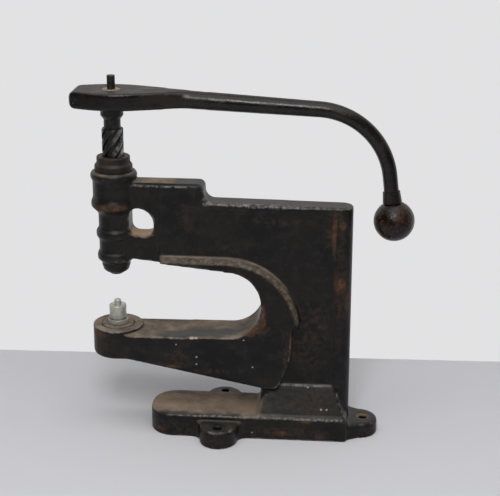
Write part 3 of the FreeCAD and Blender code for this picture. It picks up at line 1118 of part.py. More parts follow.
def make_pilot_pin():
    bevel = "Sizes.edge_bevel"
    shoulder_top = "Sizes.pilot_stop - Sizes.fit_gap"
    foot = "Sizes.pilot_stop - Sizes.pilot_shoulder_height"
    corners = [("0", foot), ("Sizes.pilot_shoulder_radius", foot),
               ("Sizes.pilot_shoulder_radius", shoulder_top), ("Sizes.pilot_radius", shoulder_top),
               ("Sizes.pilot_radius", "Sizes.pilot_top - 2 * " + bevel),
               ("Sizes.pilot_radius - 2 * " + bevel, "Sizes.pilot_top"), ("0", "Sizes.pilot_top")]
    return turned("pilot_pin", corners)


def make_pilot_spring():
    outer = "Sizes.pilot_shoulder_radius - Sizes.free_gap / 2"
    inner = outer + " - Sizes.spring_wall"
    low = SHANK_FOOT + " + Sizes.plug_thickness + Sizes.fit_gap"
    high = "Sizes.pilot_stop - Sizes.pilot_shoulder_height - Sizes.fit_gap"
    return turned("pilot_spring", [(inner, low), (outer, low), (outer, high), (inner, high)])


def make_pilot_plug():
    return cylinder("pilot_plug", CHAMBER + " - Sizes.fit_gap", "Sizes.plug_thickness", AXIS, up=SHANK_FOOT)


NODES = {
    "frame": make_frame(),
    "nut_bush": make_nut_bush(),
    "spindle": make_spindle(),
    "lever": make_lever(),
    "knob_collar": make_knob_collar(),
    "ball_knob": make_ball_knob(),
    "lever_key": make_lever_key(),
    "top_stud": make_top_stud(),
    "head_cross_pin": make_cross_pin(),
    "ram": make_ram(),
    "ram_retaining_pins": make_retaining_pins(),
    "thrust_button": make_thrust_button(),
    "upper_die": make_upper_die(),
    "anvil_seat": make_anvil_seat(),
    "anvil": make_anvil(),
    "pilot_pin": make_pilot_pin(),
    "pilot_spring": make_pilot_spring(),
    "pilot_plug": make_pilot_plug(),
    "bush_lock_screw": grub_screw(
        "bush_lock_screw", "Sizes.lock_screw_radius",
        "(Sizes.barrel_upper_radius - Sizes.bush_seat_radius + Sizes.lock_screw_bite - 2 * Sizes.edge_bevel)",
        "Sizes.bush_seat_radius - Sizes.lock_screw_bite + Sizes.fit_gap", "Sizes.lock_screw_level", (0, 1, 0)),
    "guide_screw": grub_screw(
        "guide_screw", "Sizes.guide_screw_radius",
        "(Sizes.mouth_ring_radius - Sizes.ram_stem_radius - 2 * Sizes.free_gap - Sizes.edge_bevel)",
        "Sizes.ram_stem_radius + 2 * Sizes.free_gap", "Sizes.guide_screw_level", (0, -1, 0),
        number("Sizes.guide_turn"), dog="(Sizes.keyway_depth + Sizes.free_gap)"),
    "die_set_screw": grub_screw(
        "die_set_screw", "Sizes.die_screw_radius",
        "(Sizes.ram_stem_radius - Sizes.die_shank_radius - Sizes.free_gap)",
        "Sizes.die_shank_radius + Sizes.fit_gap", "Sizes.die_screw_level", (0, 1, 0)),
    "anvil_set_screw": grub_screw(
        "anvil_set_screw", "Sizes.anvil_screw_radius",
        "(Sizes.lower_arm_half - Sizes.anvil_shank_radius - 2 * Sizes.edge_bevel)",
        "Sizes.anvil_shank_radius + Sizes.fit_gap", "Sizes.boss_height - Sizes.anvil_screw_drop", (0, 1, 0)),
}

doc.recompute()

for thing in doc.Objects:
    if "Invalid" in thing.State or "Error" in thing.State:
        raise ValueError("failed object: " + thing.Name)

os.makedirs("parts", exist_ok=True)
for node, thing in NODES.items():
    thing.Label = node
    if thing.Shape.isNull() or not thing.Shape.isValid():
        raise ValueError("bad shape: " + node)
    thing.Shape.exportStep("parts/%s.step" % node)
    box = thing.Shape.BoundBox
    print("%-20s solids %d  volume %9.1f  box %.1f..%.1f %.1f..%.1f %.1f..%.1f" % (
        node, len(thing.Shape.Solids), thing.Shape.Volume, box.XMin, box.XMax, box.YMin, box.YMax,
        box.ZMin, box.ZMax))
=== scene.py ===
# %% [markdown]
# # A hand screw press for riveting documents
# The press is one heavy black casting with a steep screw in a barrel, a forged lever on the screw,
# and a pair of dies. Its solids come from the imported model, and each one stays exactly where it is.
# What this lesson adds is the look: softened cast and forged skins, worn enamel, settled dust,
# rust, grease and bright machined steel.

import math

import bmesh
import bpy
from mathutils import Matrix, Vector
from mathutils.bvhtree import BVHTree


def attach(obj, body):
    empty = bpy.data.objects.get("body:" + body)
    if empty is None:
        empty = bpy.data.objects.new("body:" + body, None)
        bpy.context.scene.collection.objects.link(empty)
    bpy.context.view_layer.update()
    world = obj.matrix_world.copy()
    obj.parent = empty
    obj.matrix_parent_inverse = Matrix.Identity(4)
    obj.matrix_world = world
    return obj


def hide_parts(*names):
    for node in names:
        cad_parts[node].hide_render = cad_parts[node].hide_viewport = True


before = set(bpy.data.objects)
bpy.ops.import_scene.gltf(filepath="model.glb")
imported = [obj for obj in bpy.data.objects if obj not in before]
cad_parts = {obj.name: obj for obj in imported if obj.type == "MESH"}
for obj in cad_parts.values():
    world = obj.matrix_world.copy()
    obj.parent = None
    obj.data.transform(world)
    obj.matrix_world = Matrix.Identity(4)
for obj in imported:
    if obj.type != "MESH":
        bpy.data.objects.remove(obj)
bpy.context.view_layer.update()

# %% [markdown]
# ## The camera
# The photograph was taken from about 1.2 m away, a little above the lever, looking down 19 degrees
# and turned 4 degrees. The place and the directions of the camera were found by fitting a pinhole
# camera to corners of the casting, so they are written here as they came out.

# %% Camera at the photograph's place
SENSOR_MM = 36.0
LENS_MM = 85.885
CAMERA_PLACE = (0.1023, -1.0648, 0.55365)
RIGHT = Vector((0.997338, 0.072624, 0.006459))
UP = Vector((-0.029698, 0.323735, 0.945681))
BACK = RIGHT.cross(UP)


def make_camera():
    lens = bpy.data.cameras.new("camera")
    lens.sensor_width = SENSOR_MM
    lens.lens = LENS_MM
    lens.clip_end = 20.0
    camera = bpy.data.objects.new("camera", lens)
    bpy.context.scene.collection.objects.link(camera)
    turn = Matrix((RIGHT, UP, BACK)).transposed()
    camera.matrix_world = Matrix.Translation(CAMERA_PLACE) @ turn.to_4x4()
    bpy.context.scene.camera = camera


make_camera()
print("camera looks down", round(math.degrees(math.asin(BACK.z)), 1), "degrees")

# %% [markdown]
# ## Small helpers for node trees
# A material is a tree of nodes. Writing each node in one line keeps the recipes below readable: a
# value given for a socket is either a number, a colour or the output of another node.


# %% Node helpers
def fill(tree, socket, value):
    """Link another node's output to a socket, or set the socket to a plain value."""
    if isinstance(value, bpy.types.NodeSocket):
        tree.links.new(value, socket)
    else:
        socket.default_value = value


def add(tree, kind, settings=None, **values):
    """One shader node with its settings. A socket is given by name, or by number as _0."""
    node = tree.nodes.new("ShaderNode" + kind)
    for name, value in (settings or {}).items():
        setattr(node, name, value)
    for name, value in values.items():
        key = int(name[1:]) if name[0] == "_" else name.replace("_", " ")
        fill(tree, node.inputs[key], value)
    return node


def maths(tree, operation, first, second=0.0, third=0.0):
    node = add(tree, "Math", {"operation": operation}, _0=first, _1=second, _2=third)
    return node.outputs[0]


def clamped(tree, operation, first, second):
    """The same, held between 0 and 1, for masks."""
    node = add(tree, "Math", {"operation": operation, "use_clamp": True}, _0=first, _1=second)
    return node.outputs[0]


def times(tree, first, second):
    return clamped(tree, "MULTIPLY", first, second)


def inverse(tree, mask):
    return clamped(tree, "SUBTRACT", 1.0, mask)


def all_of(tree, masks):
    """One mask that is as strong at each spot as the strongest of them."""
    total = masks[0]
    for mask in masks[1:]:
        total = clamped(tree, "MAXIMUM", total, mask)
    return total


def blend(tree, amount, first, second):
    """Mix two colours."""
    node = add(tree, "Mix", {"data_type": "RGBA"}, _0=amount, _6=first, _7=second)
    return node.outputs[2]


def lay_over(tree, colour, mask, strength, top):
    """Lay a second colour over the first where the mask says, no thicker than strength."""
    return blend(tree, times(tree, mask, strength), colour, top)


def noise(tree, where, scale, detail=4.0, rough=0.55):
    node = add(tree, "TexNoise", Vector=where, Scale=scale, Detail=detail, Roughness=rough)
    return node.outputs["Fac"]


def step(tree, value, low, high):
    """0 below low, 1 above high, smooth between."""
    smooth = {"interpolation_type": "SMOOTHSTEP"}
    node = add(tree, "MapRange", smooth, Value=value, From_Min=low, From_Max=high)
    return node.outputs["Result"]


def between(tree, mask, first, last):
    """A number that goes from first to last as the mask goes from 0 to 1."""
    return add(tree, "MapRange", Value=mask, To_Min=first, To_Max=last).outputs["Result"]


def here(tree):
    return add(tree, "TexCoord").outputs["Object"]


def new_group(name, inputs, outputs):
    """An empty node group, with the inputs' names and defaults and the outputs' names."""
    tree = bpy.data.node_groups.new(name, "ShaderNodeTree")
    for key, default in inputs.items():
        kind = "NodeSocketVector" if isinstance(default, tuple) else "NodeSocketFloat"
        socket = tree.interface.new_socket(key, in_out="INPUT", socket_type=kind)
        socket.default_value = default
    for key in outputs:
        tree.interface.new_socket(key, in_out="OUTPUT", socket_type="NodeSocketFloat")
    given = tree.nodes.new("NodeGroupInput").outputs
    return tree, given, tree.nodes.new("NodeGroupOutput").inputs


def use(tree, group, **values):
    """Place a node group in a tree and give its outputs."""
    node = tree.nodes.new("ShaderNodeGroup")
    node.node_tree = group
    for name, value in values.items():
        fill(tree, node.inputs[name.replace("_", " ")], value)
    return node.outputs


# %% [markdown]
# ## Effects that several finishes share
# Dust settles on whatever looks up. Rust comes in ragged patches. Enamel wears off along edges. A
# casting is never smooth. Each of these is a node group, built once, so that every finish can use
# it with its own amounts.


# %% Dust that settled on faces that look up
def make_settled_dust():
    amounts = {"Steep": 0.55, "Flat": 0.95, "Patchiness": 0.5, "Scale": 60.0}
    tree, given, out = new_group("settled_dust", amounts, ["Mask"])
    normal = add(tree, "NewGeometry").outputs["Normal"]
    up = add(tree, "SeparateXYZ", Vector=normal).outputs["Z"]
    facing = step(tree, up, given["Steep"], given["Flat"])
    spots = step(tree, noise(tree, here(tree), given["Scale"], 6.0, 0.65), 0.30, 0.62)
    bare = times(tree, given["Patchiness"], inverse(tree, spots))
    tree.links.new(times(tree, facing, inverse(tree, bare)), out["Mask"])
    return tree


settled_dust = make_settled_dust()


# %% A ragged patch at one place, for rust and chips
def make_patch():
    """Full near Place, gone at about Reach from it, with an edge that noise makes ragged."""
    spot_default, reach_default = (0.0, 0.0, 0.0), (0.01, 0.01, 0.01)
    amounts = {"Place": spot_default, "Reach": reach_default, "Scale": 400.0, "Ragged": 0.6}
    tree, given, out = new_group("patch", amounts, ["Mask"])
    spot = here(tree)
    offset = add(tree, "VectorMath", {"operation": "SUBTRACT"}, _0=spot, _1=given["Place"])
    scaled = add(tree, "VectorMath", {"operation": "DIVIDE"}, _0=offset.outputs[0],
                 _1=given["Reach"])
    far = add(tree, "VectorMath", {"operation": "LENGTH"}, _0=scaled.outputs[0])
    breakup = maths(tree, "MULTIPLY_ADD", noise(tree, spot, given["Scale"], 5.0, 0.6),
                    given["Ragged"], far.outputs["Value"])
    tree.links.new(inverse(tree, step(tree, breakup, 0.75, 1.25)), out["Mask"])
    return tree


patch = make_patch()


# %% Ragged blotches all over, for rust bloom and stains
def make_blotches():
    tree, given, out = new_group("blotches", {"Scale": 30.0, "Low": 0.55, "High": 0.7}, ["Mask"])
    coarse = noise(tree, here(tree), given["Scale"], 8.0, 0.62)
    tree.links.new(step(tree, coarse, given["Low"], given["High"]), out["Mask"])
    return tree


blotches = make_blotches()


# %% Wear along edges, read from the mesh
def make_edge_wear():
    """Worn and Crevice come from the number ridge that each point of a softened skin carries."""
    amounts = {"Start": 0.1, "End": 0.5, "Scale": 120.0}
    tree, given, out = new_group("edge_wear", amounts, ["Worn", "Crevice"])
    ridge = add(tree, "Attribute", {"attribute_name": "ridge"}).outputs["Fac"]
    broken = add(tree, "MapRange", Value=noise(tree, here(tree), given["Scale"], 5.0, 0.7),
                 From_Min=0.3, From_Max=0.7, To_Min=0.25, To_Max=1.3).outputs["Result"]
    crest = maths(tree, "MULTIPLY", ridge, broken)
    tree.links.new(step(tree, crest, given["Start"], given["End"]), out["Worn"])
    hollow = maths(tree, "MULTIPLY", ridge, -1.0)
    tree.links.new(step(tree, hollow, 0.03, 0.16), out["Crevice"])
    return tree


edge_wear = make_edge_wear()


# %% Cast or forged skin: fine grain and soft lumps
def make_rough_skin():
    amounts = {"Grain": 0.4, "Grain scale": 1100.0, "Lumps": 0.6, "Lump scale": 140.0}
    tree, given, out = new_group("rough_skin", amounts, ["Height"])
    spot = here(tree)
    grain = maths(tree, "MULTIPLY", noise(tree, spot, given["Grain scale"], 3.0, 0.6),
                  given["Grain"])
    lumps = maths(tree, "MULTIPLY_ADD", noise(tree, spot, given["Lump scale"], 3.0, 0.5),
                  given["Lumps"], grain)
    tree.links.new(lumps, out["Height"])
    return tree


rough_skin = make_rough_skin()


# %% Fine lines left by a tool that went round a vertical axis
def make_turned_lines():
    tree, given, out = new_group("turned_lines", {"Scale": 900.0, "Stretch": 0.04}, ["Lines"])
    parts = add(tree, "SeparateXYZ", Vector=here(tree)).outputs
    flat_x = maths(tree, "MULTIPLY", parts["X"], given["Stretch"])
    flat_y = maths(tree, "MULTIPLY", parts["Y"], given["Stretch"])
    squeezed = add(tree, "CombineXYZ", X=flat_x, Y=flat_y, Z=parts["Z"]).outputs[0]
    tree.links.new(noise(tree, squeezed, given["Scale"], 3.0, 0.6), out["Lines"])
    return tree


turned_lines = make_turned_lines()
print("shared effects:", [group.name for group in bpy.data.node_groups])


# %% [markdown]
# ## Finishes
# The shader itself stays in each material. Colours are mixed first, from the clean finish outwards:
# enamel or steel, then stains, wear, dust, rust and chips.


# %% A material with its shader ready
def new_finish(name, specular):
    material = bpy.data.materials.new(name)
    material.use_nodes = True
    tree = material.node_tree
    shader = next(node for node in tree.nodes if node.type == "BSDF_PRINCIPLED")
    shader.inputs["Specular IOR Level"].default_value = specular
    return material, tree, shader


def finish_with(tree, shader, colour, roughness, metallic=0.0, height=None, depth=0.0):
    fill(tree, shader.inputs["Base Color"], colour)
    fill(tree, shader.inputs["Roughness"], roughness)
    fill(tree, shader.inputs["Metallic"], metallic)
    if height is not None:
        bump = add(tree, "Bump", Strength=1.0, Distance=depth, Height=height)
        tree.links.new(bump.outputs["Normal"], shader.inputs["Normal"])


def rgb(red, green, blue):
    return (red, green, blue, 1.0)


# %% [markdown]
# ### Black enamel on cast iron
# The casting is coated in black enamel. It still has a dull gloss on its sides. Its tops are brown
# with dust and old grease, its edges are rubbed through, and a reddish film lies on parts of it.
# Some of its colour is painted light: lighter edges and highlight lines stand for light on rounded
# edges, the rim's bevel gets a painted highlight, and a dark line under the arm's top edge is
# painted shade. A few places have their own marks, so they are listed here with their centre and
# reach in metres: the list is easier to change than a tree of nodes.

# %% Places on the casting that have their own marks, in metres
FILM_PLACES = [
    ((0.0850, -0.0120, 0.1000), (0.0420, 0.0050, 0.0700)),
    ((0.0850, -0.0200, 0.0370), (0.0500, 0.0100, 0.0200)),
    ((0.1080, -0.0120, 0.2050), (0.0160, 0.0100, 0.0450)),
    ((0.1140, -0.0120, 0.1500), (0.0120, 0.0100, 0.0500)),
    ((0.0600, -0.0120, 0.2170), (0.0600, 0.0040, 0.0070)),
    ((-0.1140, -0.0180, 0.0920), (0.0200, 0.0160, 0.0220)),
    ((-0.0440, -0.0240, 0.0830), (0.0170, 0.0040, 0.0100)),
    ((-0.0450, -0.0240, 0.0735), (0.0300, 0.0040, 0.0050)),
    ((-0.0100, -0.0240, 0.0685), (0.0300, 0.0040, 0.0040)),
    ((0.0660, -0.0240, 0.0850), (0.0110, 0.0050, 0.0400)),
    ((0.0340, -0.0240, 0.1120), (0.0240, 0.0050, 0.0140)),
    ((-0.0300, -0.0120, 0.2150), (0.0200, 0.0040, 0.0240)),
    ((0.0060, -0.0120, 0.1880), (0.0220, 0.0040, 0.0080)),
    ((-0.1200, 0.0000, 0.2150), (0.0090, 0.0160, 0.0500)),
    ((0.0620, -0.0280, 0.0080), (0.0800, 0.0040, 0.0090)),
    ((-0.0450, -0.0280, 0.0080), (0.0340, 0.0200, 0.0120)),
    ((0.0160, -0.0280, 0.0140), (0.0160, 0.0040, 0.0100)),
    ((0.0840, -0.0280, 0.0200), (0.0120, 0.0040, 0.0060)),
    ((0.0000, -0.0450, 0.0100), (0.0240, 0.0160, 0.0140)),
    ((0.1400, -0.0120, 0.0060), (0.0240, 0.0120, 0.0080)),
]
RUST_PLACES = [
    ((0.0290, -0.0238, 0.1085), (0.0080, 0.0050, 0.0045)),
    ((0.0350, -0.0232, 0.1135), (0.0090, 0.0060, 0.0070)),
    ((0.0410, -0.0220, 0.1205), (0.0060, 0.0080, 0.0090)),
    ((-0.1000, -0.0200, 0.2285), (0.0240, 0.0120, 0.0052)),
    ((-0.1160, -0.0150, 0.2260), (0.0100, 0.0110, 0.0040)),
    ((0.1065, -0.0120, 0.2070), (0.0038, 0.0060, 0.0340)),
    ((0.1140, -0.0110, 0.2150), (0.0050, 0.0060, 0.0070)),
    ((0.1130, -0.0115, 0.1560), (0.0090, 0.0050, 0.0120)),
    ((0.1205, -0.0080, 0.1380), (0.0040, 0.0080, 0.0160)),
    ((0.0700, -0.0228, 0.0950), (0.0052, 0.0050, 0.0260)),
    ((0.0405, -0.0225, 0.1300), (0.0050, 0.0070, 0.0120)),
    ((0.0640, -0.0228, 0.0600), (0.0055, 0.0050, 0.0130)),
    ((-0.1160, -0.0170, 0.1010), (0.0120, 0.0150, 0.0060)),
    ((-0.0440, -0.0238, 0.0720), (0.0110, 0.0040, 0.0030)),
    ((0.0600, -0.0285, 0.0070), (0.0120, 0.0040, 0.0040)),
    ((0.0980, -0.0285, 0.0040), (0.0070, 0.0040, 0.0030)),
    ((0.0840, -0.0285, 0.0205), (0.0080, 0.0040, 0.0030)),
    ((-0.0580, -0.0240, 0.0060), (0.0120, 0.0100, 0.0030)),
]
CLEAN_PLACES = [
    ((0.0870, -0.0200, 0.0370), (0.0900, 0.0340, 0.0400)),
    ((0.0500, 0.0000, 0.2330), (0.2400, 0.0500, 0.0160)),
    ((-0.0200, -0.0060, 0.2510), (0.0500, 0.0300, 0.0100)),
    ((0.0000, -0.0450, 0.0175), (0.0600, 0.0800, 0.0070)),
    ((0.0000, 0.0450, 0.0180), (0.0600, 0.0300, 0.0120)),
    ((-0.0420, -0.0150, 0.1025), (0.0300, 0.0170, 0.0120)),
    ((-0.0200, -0.0110, 0.1028), (0.0520, 0.0230, 0.0120)),
    ((0.0040, -0.0080, 0.1030), (0.0280, 0.0170, 0.0120)),
    ((-0.0380, -0.0270, 0.0230), (0.0700, 0.0110, 0.0080)),
    ((0.0020, -0.0270, 0.0230), (0.0400, 0.0100, 0.0080)),
    ((0.0900, -0.0290, 0.0230), (0.1000, 0.0160, 0.0080)),
    ((-0.0390, 0.0210, 0.0230), (0.0200, 0.0070, 0.0080)),
    ((0.1360, 0.0000, 0.0155), (0.0600, 0.0700, 0.0080)),
    ((-0.1010, 0.0000, 0.2200), (0.0600, 0.0600, 0.1100)),
    ((-0.0745, 0.0000, 0.1996), (0.0300, 0.0400, 0.0080)),
]
CHIPS = [
    ((-0.0265, -0.0238, 0.1024), (0.0032, 0.0040, 0.0020)),
    ((-0.0225, -0.0238, 0.1024), (0.0024, 0.0036, 0.0014)),
    ((-0.0219, -0.0238, 0.0829), (0.0012, 0.0030, 0.0012)),
    ((-0.0220, -0.0238, 0.0755), (0.0010, 0.0030, 0.0010)),
    ((-0.0415, -0.0238, 0.0952), (0.0009, 0.0030, 0.0009)),
    ((0.0320, -0.0238, 0.0742), (0.0010, 0.0030, 0.0010)),
    ((0.0234, -0.0238, 0.1020), (0.0010, 0.0030, 0.0008)),
    ((0.0321, -0.0283, 0.0069), (0.0009, 0.0030, 0.0009)),
    ((0.0850, -0.0120, 0.0500), (0.0012, 0.0060, 0.0008)),
    ((0.0986, -0.0200, 0.0310), (0.0014, 0.0060, 0.0012)),
    ((0.1040, -0.0200, 0.0310), (0.0012, 0.0060, 0.0012)),
]
# Painted highlights: light lines along rounded edges, on the column's top and on the front lug.
PAINTED_HIGHLIGHTS = [
    ((-0.0480, -0.0120, 0.2482), (0.0560, 0.0018, 0.0013)),
    ((0.0395, -0.0275, 0.0232), (0.0080, 0.0030, 0.0030)),
    ((0.0540, -0.0112, 0.2326), (0.0860, 0.0060, 0.0042)),
    ((-0.0120, -0.0112, 0.2350), (0.0080, 0.0050, 0.0070)),
    ((0.0850, -0.0276, 0.0226), (0.1100, 0.0026, 0.0020)),
    ((-0.0100, -0.0276, 0.0226), (0.0900, 0.0020, 0.0016)),
    ((0.0740, -0.0123, 0.0515), (0.0480, 0.0022, 0.0016)),
    ((0.1210, -0.0230, 0.0300), (0.0024, 0.0030, 0.0070)),
    ((0.1170, -0.0185, 0.0385), (0.0022, 0.0030, 0.0070)),
    ((0.1135, -0.0145, 0.0460), (0.0020, 0.0030, 0.0070)),
    ((-0.0010, -0.0500, 0.0168), (0.0110, 0.0040, 0.0030)),
    ((-0.0020, -0.0275, 0.0226), (0.0120, 0.0040, 0.0026)),
]

# %% Single marks: place, reach, scale of the ragged edge and how ragged it is
MARKS = {
    "thick_dust": ((-0.0220, 0.0040, 0.0230), (0.0800, 0.0400, 0.0080), 60.0, 0.7),
    "drift": ((0.0340, 0.0020, 0.0270), (0.0160, 0.0330, 0.0170), 90.0, 0.5),
    # painted shade: a dark line under the front edge of the upper arm's top
    "arm_edge_painted_shade": ((-0.0500, -0.0113, 0.2505), (0.0520, 0.0026, 0.0020), 300.0, 0.4),
    "window_sill": ((-0.0745, 0.0000, 0.2010), (0.0180, 0.0175, 0.0036), 300.0, 0.4),
    "dirty_hole": ((0.0000, -0.0420, 0.0140), (0.0110, 0.0110, 0.0100), 200.0, 0.2),
    "bright_bevel": ((0.1395, 0.0000, 0.0152), (0.0066, 0.0066, 0.0030), 400.0, 0.3),
}


def patches(tree, places, scale, ragged):
    return all_of(tree, [
        use(tree, patch, Place=place, Reach=reach, Scale=scale, Ragged=ragged)["Mask"]
        for place, reach in places])


def enamel_dust(tree):
    """How much of the brown dust lies on each spot, without the places that were wiped."""
    dust = use(tree, settled_dust, Steep=0.30, Flat=0.88, Patchiness=0.45, Scale=42.0)["Mask"]
    wiped = patches(tree, CLEAN_PLACES, 70.0, 0.9)
    return times(tree, dust, inverse(tree, times(tree, wiped, 0.9)))


# %% The enamel's colour, layer by layer
def enamel_colour(tree, dust, wear):
    """Black enamel under its layers. It also gives the masks of the film and the rust."""
    spot = here(tree)
    stains = use(tree, blotches, Scale=17.0, Low=0.36, High=0.66)["Mask"]
    mottle = use(tree, blotches, Scale=95.0, Low=0.46, High=0.70)["Mask"]
    speckle = use(tree, blotches, Scale=260.0, Low=0.42, High=0.62)["Mask"]
    band = add(tree, "Attribute", {"attribute_name": "band"}).outputs["Fac"]
    mark = {name: patches(tree, [(place, reach)], scale, ragged)
            for name, (place, reach, scale, ragged) in MARKS.items()}

    film = times(tree, patches(tree, FILM_PLACES, 55.0, 0.8), speckle)
    painted_highlights = times(tree, patches(tree, PAINTED_HIGHLIGHTS, 150.0, 0.7), speckle)
    rust = times(tree, patches(tree, RUST_PLACES, 260.0, 0.8), between(tree, speckle, 0.35, 1.0))
    # The rim's bevel: rubbed enamel with a painted highlight, for light on a rounded shoulder.
    rim_band_lit_and_rubbed = times(tree, band, step(tree, noise(tree, spot, 120.0), 0.25, 0.5))
    top_dust = times(tree, dust, inverse(tree, times(tree, band, 0.85)))

    # colour of the rim's bevel: rubbed enamel, partly a painted highlight
    rubbed_and_lit = blend(tree, speckle, rgb(0.052, 0.042, 0.032), rgb(0.125, 0.098, 0.072))
    # edge colour: rubbed enamel, lightened also as a painted highlight on rounded edges
    worn_and_lit = blend(tree, step(tree, noise(tree, spot, 150.0), 0.35, 0.7),
                 rgb(0.045, 0.038, 0.032), rgb(0.270, 0.255, 0.235))
    brown = blend(tree, step(tree, noise(tree, spot, 34.0, 7.0, 0.68), 0.3, 0.7),
                  rgb(0.105, 0.080, 0.060), rgb(0.320, 0.255, 0.195))
    orange = blend(tree, noise(tree, spot, 500.0), rgb(0.066, 0.030, 0.015),
                   rgb(0.160, 0.078, 0.038))

    colour = blend(tree, stains, rgb(0.0042, 0.0044, 0.0050), rgb(0.0115, 0.0100, 0.0086))
    layers = [
        (mottle, 0.6, rgb(0.0230, 0.0195, 0.0160)),
        (film, 0.6, rgb(0.052, 0.033, 0.021)),
        (wear["Crevice"], 0.6, rgb(0.036, 0.027, 0.020)),
        # painted highlight and rubbed enamel on the rim's bevel
        (rim_band_lit_and_rubbed, 1.0, rubbed_and_lit),
        # rubbed edges with a painted highlight
        (wear["Worn"], 0.85, worn_and_lit),
        (top_dust, 0.95, brown),
        (times(tree, mark["thick_dust"], top_dust), 0.42, rgb(0.480, 0.350, 0.240)),
        (mark["drift"], 0.75, rgb(0.300, 0.215, 0.150)),
        # painted shade under the arm's top edge
        (mark["arm_edge_painted_shade"], 1.0, rgb(0.0060, 0.0058, 0.0056)),
        (mark["window_sill"], 0.85, rgb(0.400, 0.240, 0.115)),
        # painted highlights along edges
        (painted_highlights, 0.8, rgb(0.200, 0.195, 0.190)),
        (mark["dirty_hole"], 1.0, rgb(0.0130, 0.0110, 0.0090)),
        (mark["bright_bevel"], 0.8, rgb(0.260, 0.180, 0.095)),
        (rust, 0.9, orange),
        (patches(tree, CHIPS, 900.0, 0.5), 1.0, rgb(0.40, 0.33, 0.26)),
    ]
    for mask, strength, top in layers:
        colour = lay_over(tree, colour, mask, strength, top)
    return colour, film, rust


# %% The enamel itself
def make_enamel():
    material, tree, shader = new_finish("enamel_iron", specular=0.20)
    wear = use(tree, edge_wear, Start=0.06, End=0.20, Scale=130.0)
    dust = enamel_dust(tree)
    colour, film, rust = enamel_colour(tree, dust, wear)
    dull = all_of(tree, [dust, rust, times(tree, film, 0.7)])
    skin = use(tree, rough_skin, Grain=0.25, Grain_scale=1400.0, Lumps=0.5, Lump_scale=150.0)
    finish_with(tree, shader, colour, between(tree, dull, 0.34, 0.85), 0.0, skin["Height"], 0.0007)
    return material


enamel_iron = make_enamel()
print("film:", len(FILM_PLACES), "rust:", len(RUST_PLACES), "chips:", len(CHIPS))


# %% [markdown]
# ### Dark brown forging
# The lever is a forging that has gone dark brown. Handling has left it half glossy, with a lighter
# brown on top where the light catches its dusty film.


# %% Lever and collar finish
def make_forging():
    material, tree, shader = new_finish("lever_steel", specular=0.28)
    wear = use(tree, edge_wear, Start=0.25, End=0.9, Scale=120.0)
    dust = use(tree, settled_dust, Steep=0.90, Flat=0.995, Patchiness=0.5, Scale=60.0)["Mask"]
    stains = use(tree, blotches, Scale=45.0, Low=0.42, High=0.70)["Mask"]
    colour = blend(tree, stains, rgb(0.0070, 0.0058, 0.0053), rgb(0.0170, 0.0118, 0.0094))
    colour = lay_over(tree, colour, wear["Worn"], 0.35, rgb(0.060, 0.046, 0.037))
    colour = lay_over(tree, colour, dust, 0.6, rgb(0.064, 0.054, 0.046))
    skin = use(tree, rough_skin, Grain=0.12, Grain_scale=1300.0, Lumps=1.0, Lump_scale=110.0)
    dull = all_of(tree, [dust, times(tree, stains, 0.5)])
    finish_with(tree, shader, colour, between(tree, dull, 0.22, 0.62), 0.0, skin["Height"], 0.0004)
    return material


lever_steel = make_forging()


# %% [markdown]
# ### The ball
# The ball is the piece that hands held: dark, a little glossy, and reddish where rust comes
# through.


# %% Ball finish
def make_ball_finish():
    material, tree, shader = new_finish("knob_iron", specular=0.26)
    rust = use(tree, blotches, Scale=48.0, Low=0.42, High=0.66)["Mask"]
    freckles = use(tree, blotches, Scale=260.0, Low=0.50, High=0.66)["Mask"]
    colour = blend(tree, rust, rgb(0.0064, 0.0043, 0.0036), rgb(0.021, 0.0098, 0.0060))
    colour = lay_over(tree, colour, freckles, 0.6, rgb(0.075, 0.032, 0.016))
    skin = use(tree, rough_skin, Grain=0.2, Grain_scale=1200.0, Lumps=0.9, Lump_scale=210.0)
    finish_with(tree, shader, colour, between(tree, rust, 0.20, 0.42), 0.0, skin["Height"], 0.0005)
    return material


knob_iron = make_ball_finish()


# %% [markdown]
# ### The screw, the nut bush and the small dark pieces
# The screw is machined steel under old grease, brighter on the crests of its thread where the nut
# rubs it; on its right side the crests carry a painted reflection. The nut bush has gone brown.
# The stud and the small screws are nearly black.

# %% Where the screw stands, in metres
SCREW_X = -0.101


# %% Screw finish
def make_screw_finish():
    """Crests brighter on the right as a painted reflection, brown on the left; the flat end is tan.
    """
    material, tree, shader = new_finish("screw_steel", specular=0.5)
    spot = here(tree)
    parts = add(tree, "SeparateXYZ", Vector=spot).outputs
    across = maths(tree, "ADD", parts["X"], -SCREW_X)
    flat = add(tree, "CombineXYZ", X=across, Y=parts["Y"]).outputs[0]
    radius = add(tree, "VectorMath", {"operation": "LENGTH"}, _0=flat).outputs["Value"]
    crest = step(tree, radius, 0.0090, 0.0098)
    below_collar = inverse(tree, step(tree, parts["Z"], 0.2985, 0.3015))
    rubbed_and_lit = times(tree, times(tree, crest, below_collar),
                   step(tree, noise(tree, spot, 210.0, 5.0, 0.6), 0.36, 0.62))
    grease = use(tree, blotches, Scale=120.0, Low=0.40, High=0.66)["Mask"]
    lines = use(tree, turned_lines, Scale=1500.0, Stretch=0.05)["Lines"]
    dark = blend(tree, grease, rgb(0.022, 0.018, 0.015), rgb(0.008, 0.0065, 0.0055))
    # painted reflection: the rubbed crests are made lighter on the screw's right side
    bright = blend(tree, step(tree, parts["X"], -0.1010, -0.0950),
                   rgb(0.045, 0.039, 0.031), rgb(0.300, 0.295, 0.275))
    tan = blend(tree, noise(tree, spot, 600.0), rgb(0.17, 0.125, 0.075), rgb(0.30, 0.235, 0.15))
    colour = lay_over(tree, dark, rubbed_and_lit, 0.85, bright)
    colour = lay_over(tree, colour, step(tree, parts["Z"], 0.3346, 0.3354), 0.9, tan)
    metal = between(tree, rubbed_and_lit, 0.35, 0.9)
    finish_with(tree, shader, colour, between(tree, grease, 0.48, 0.34), metal, lines, 0.0002)
    return material


screw_steel = make_screw_finish()


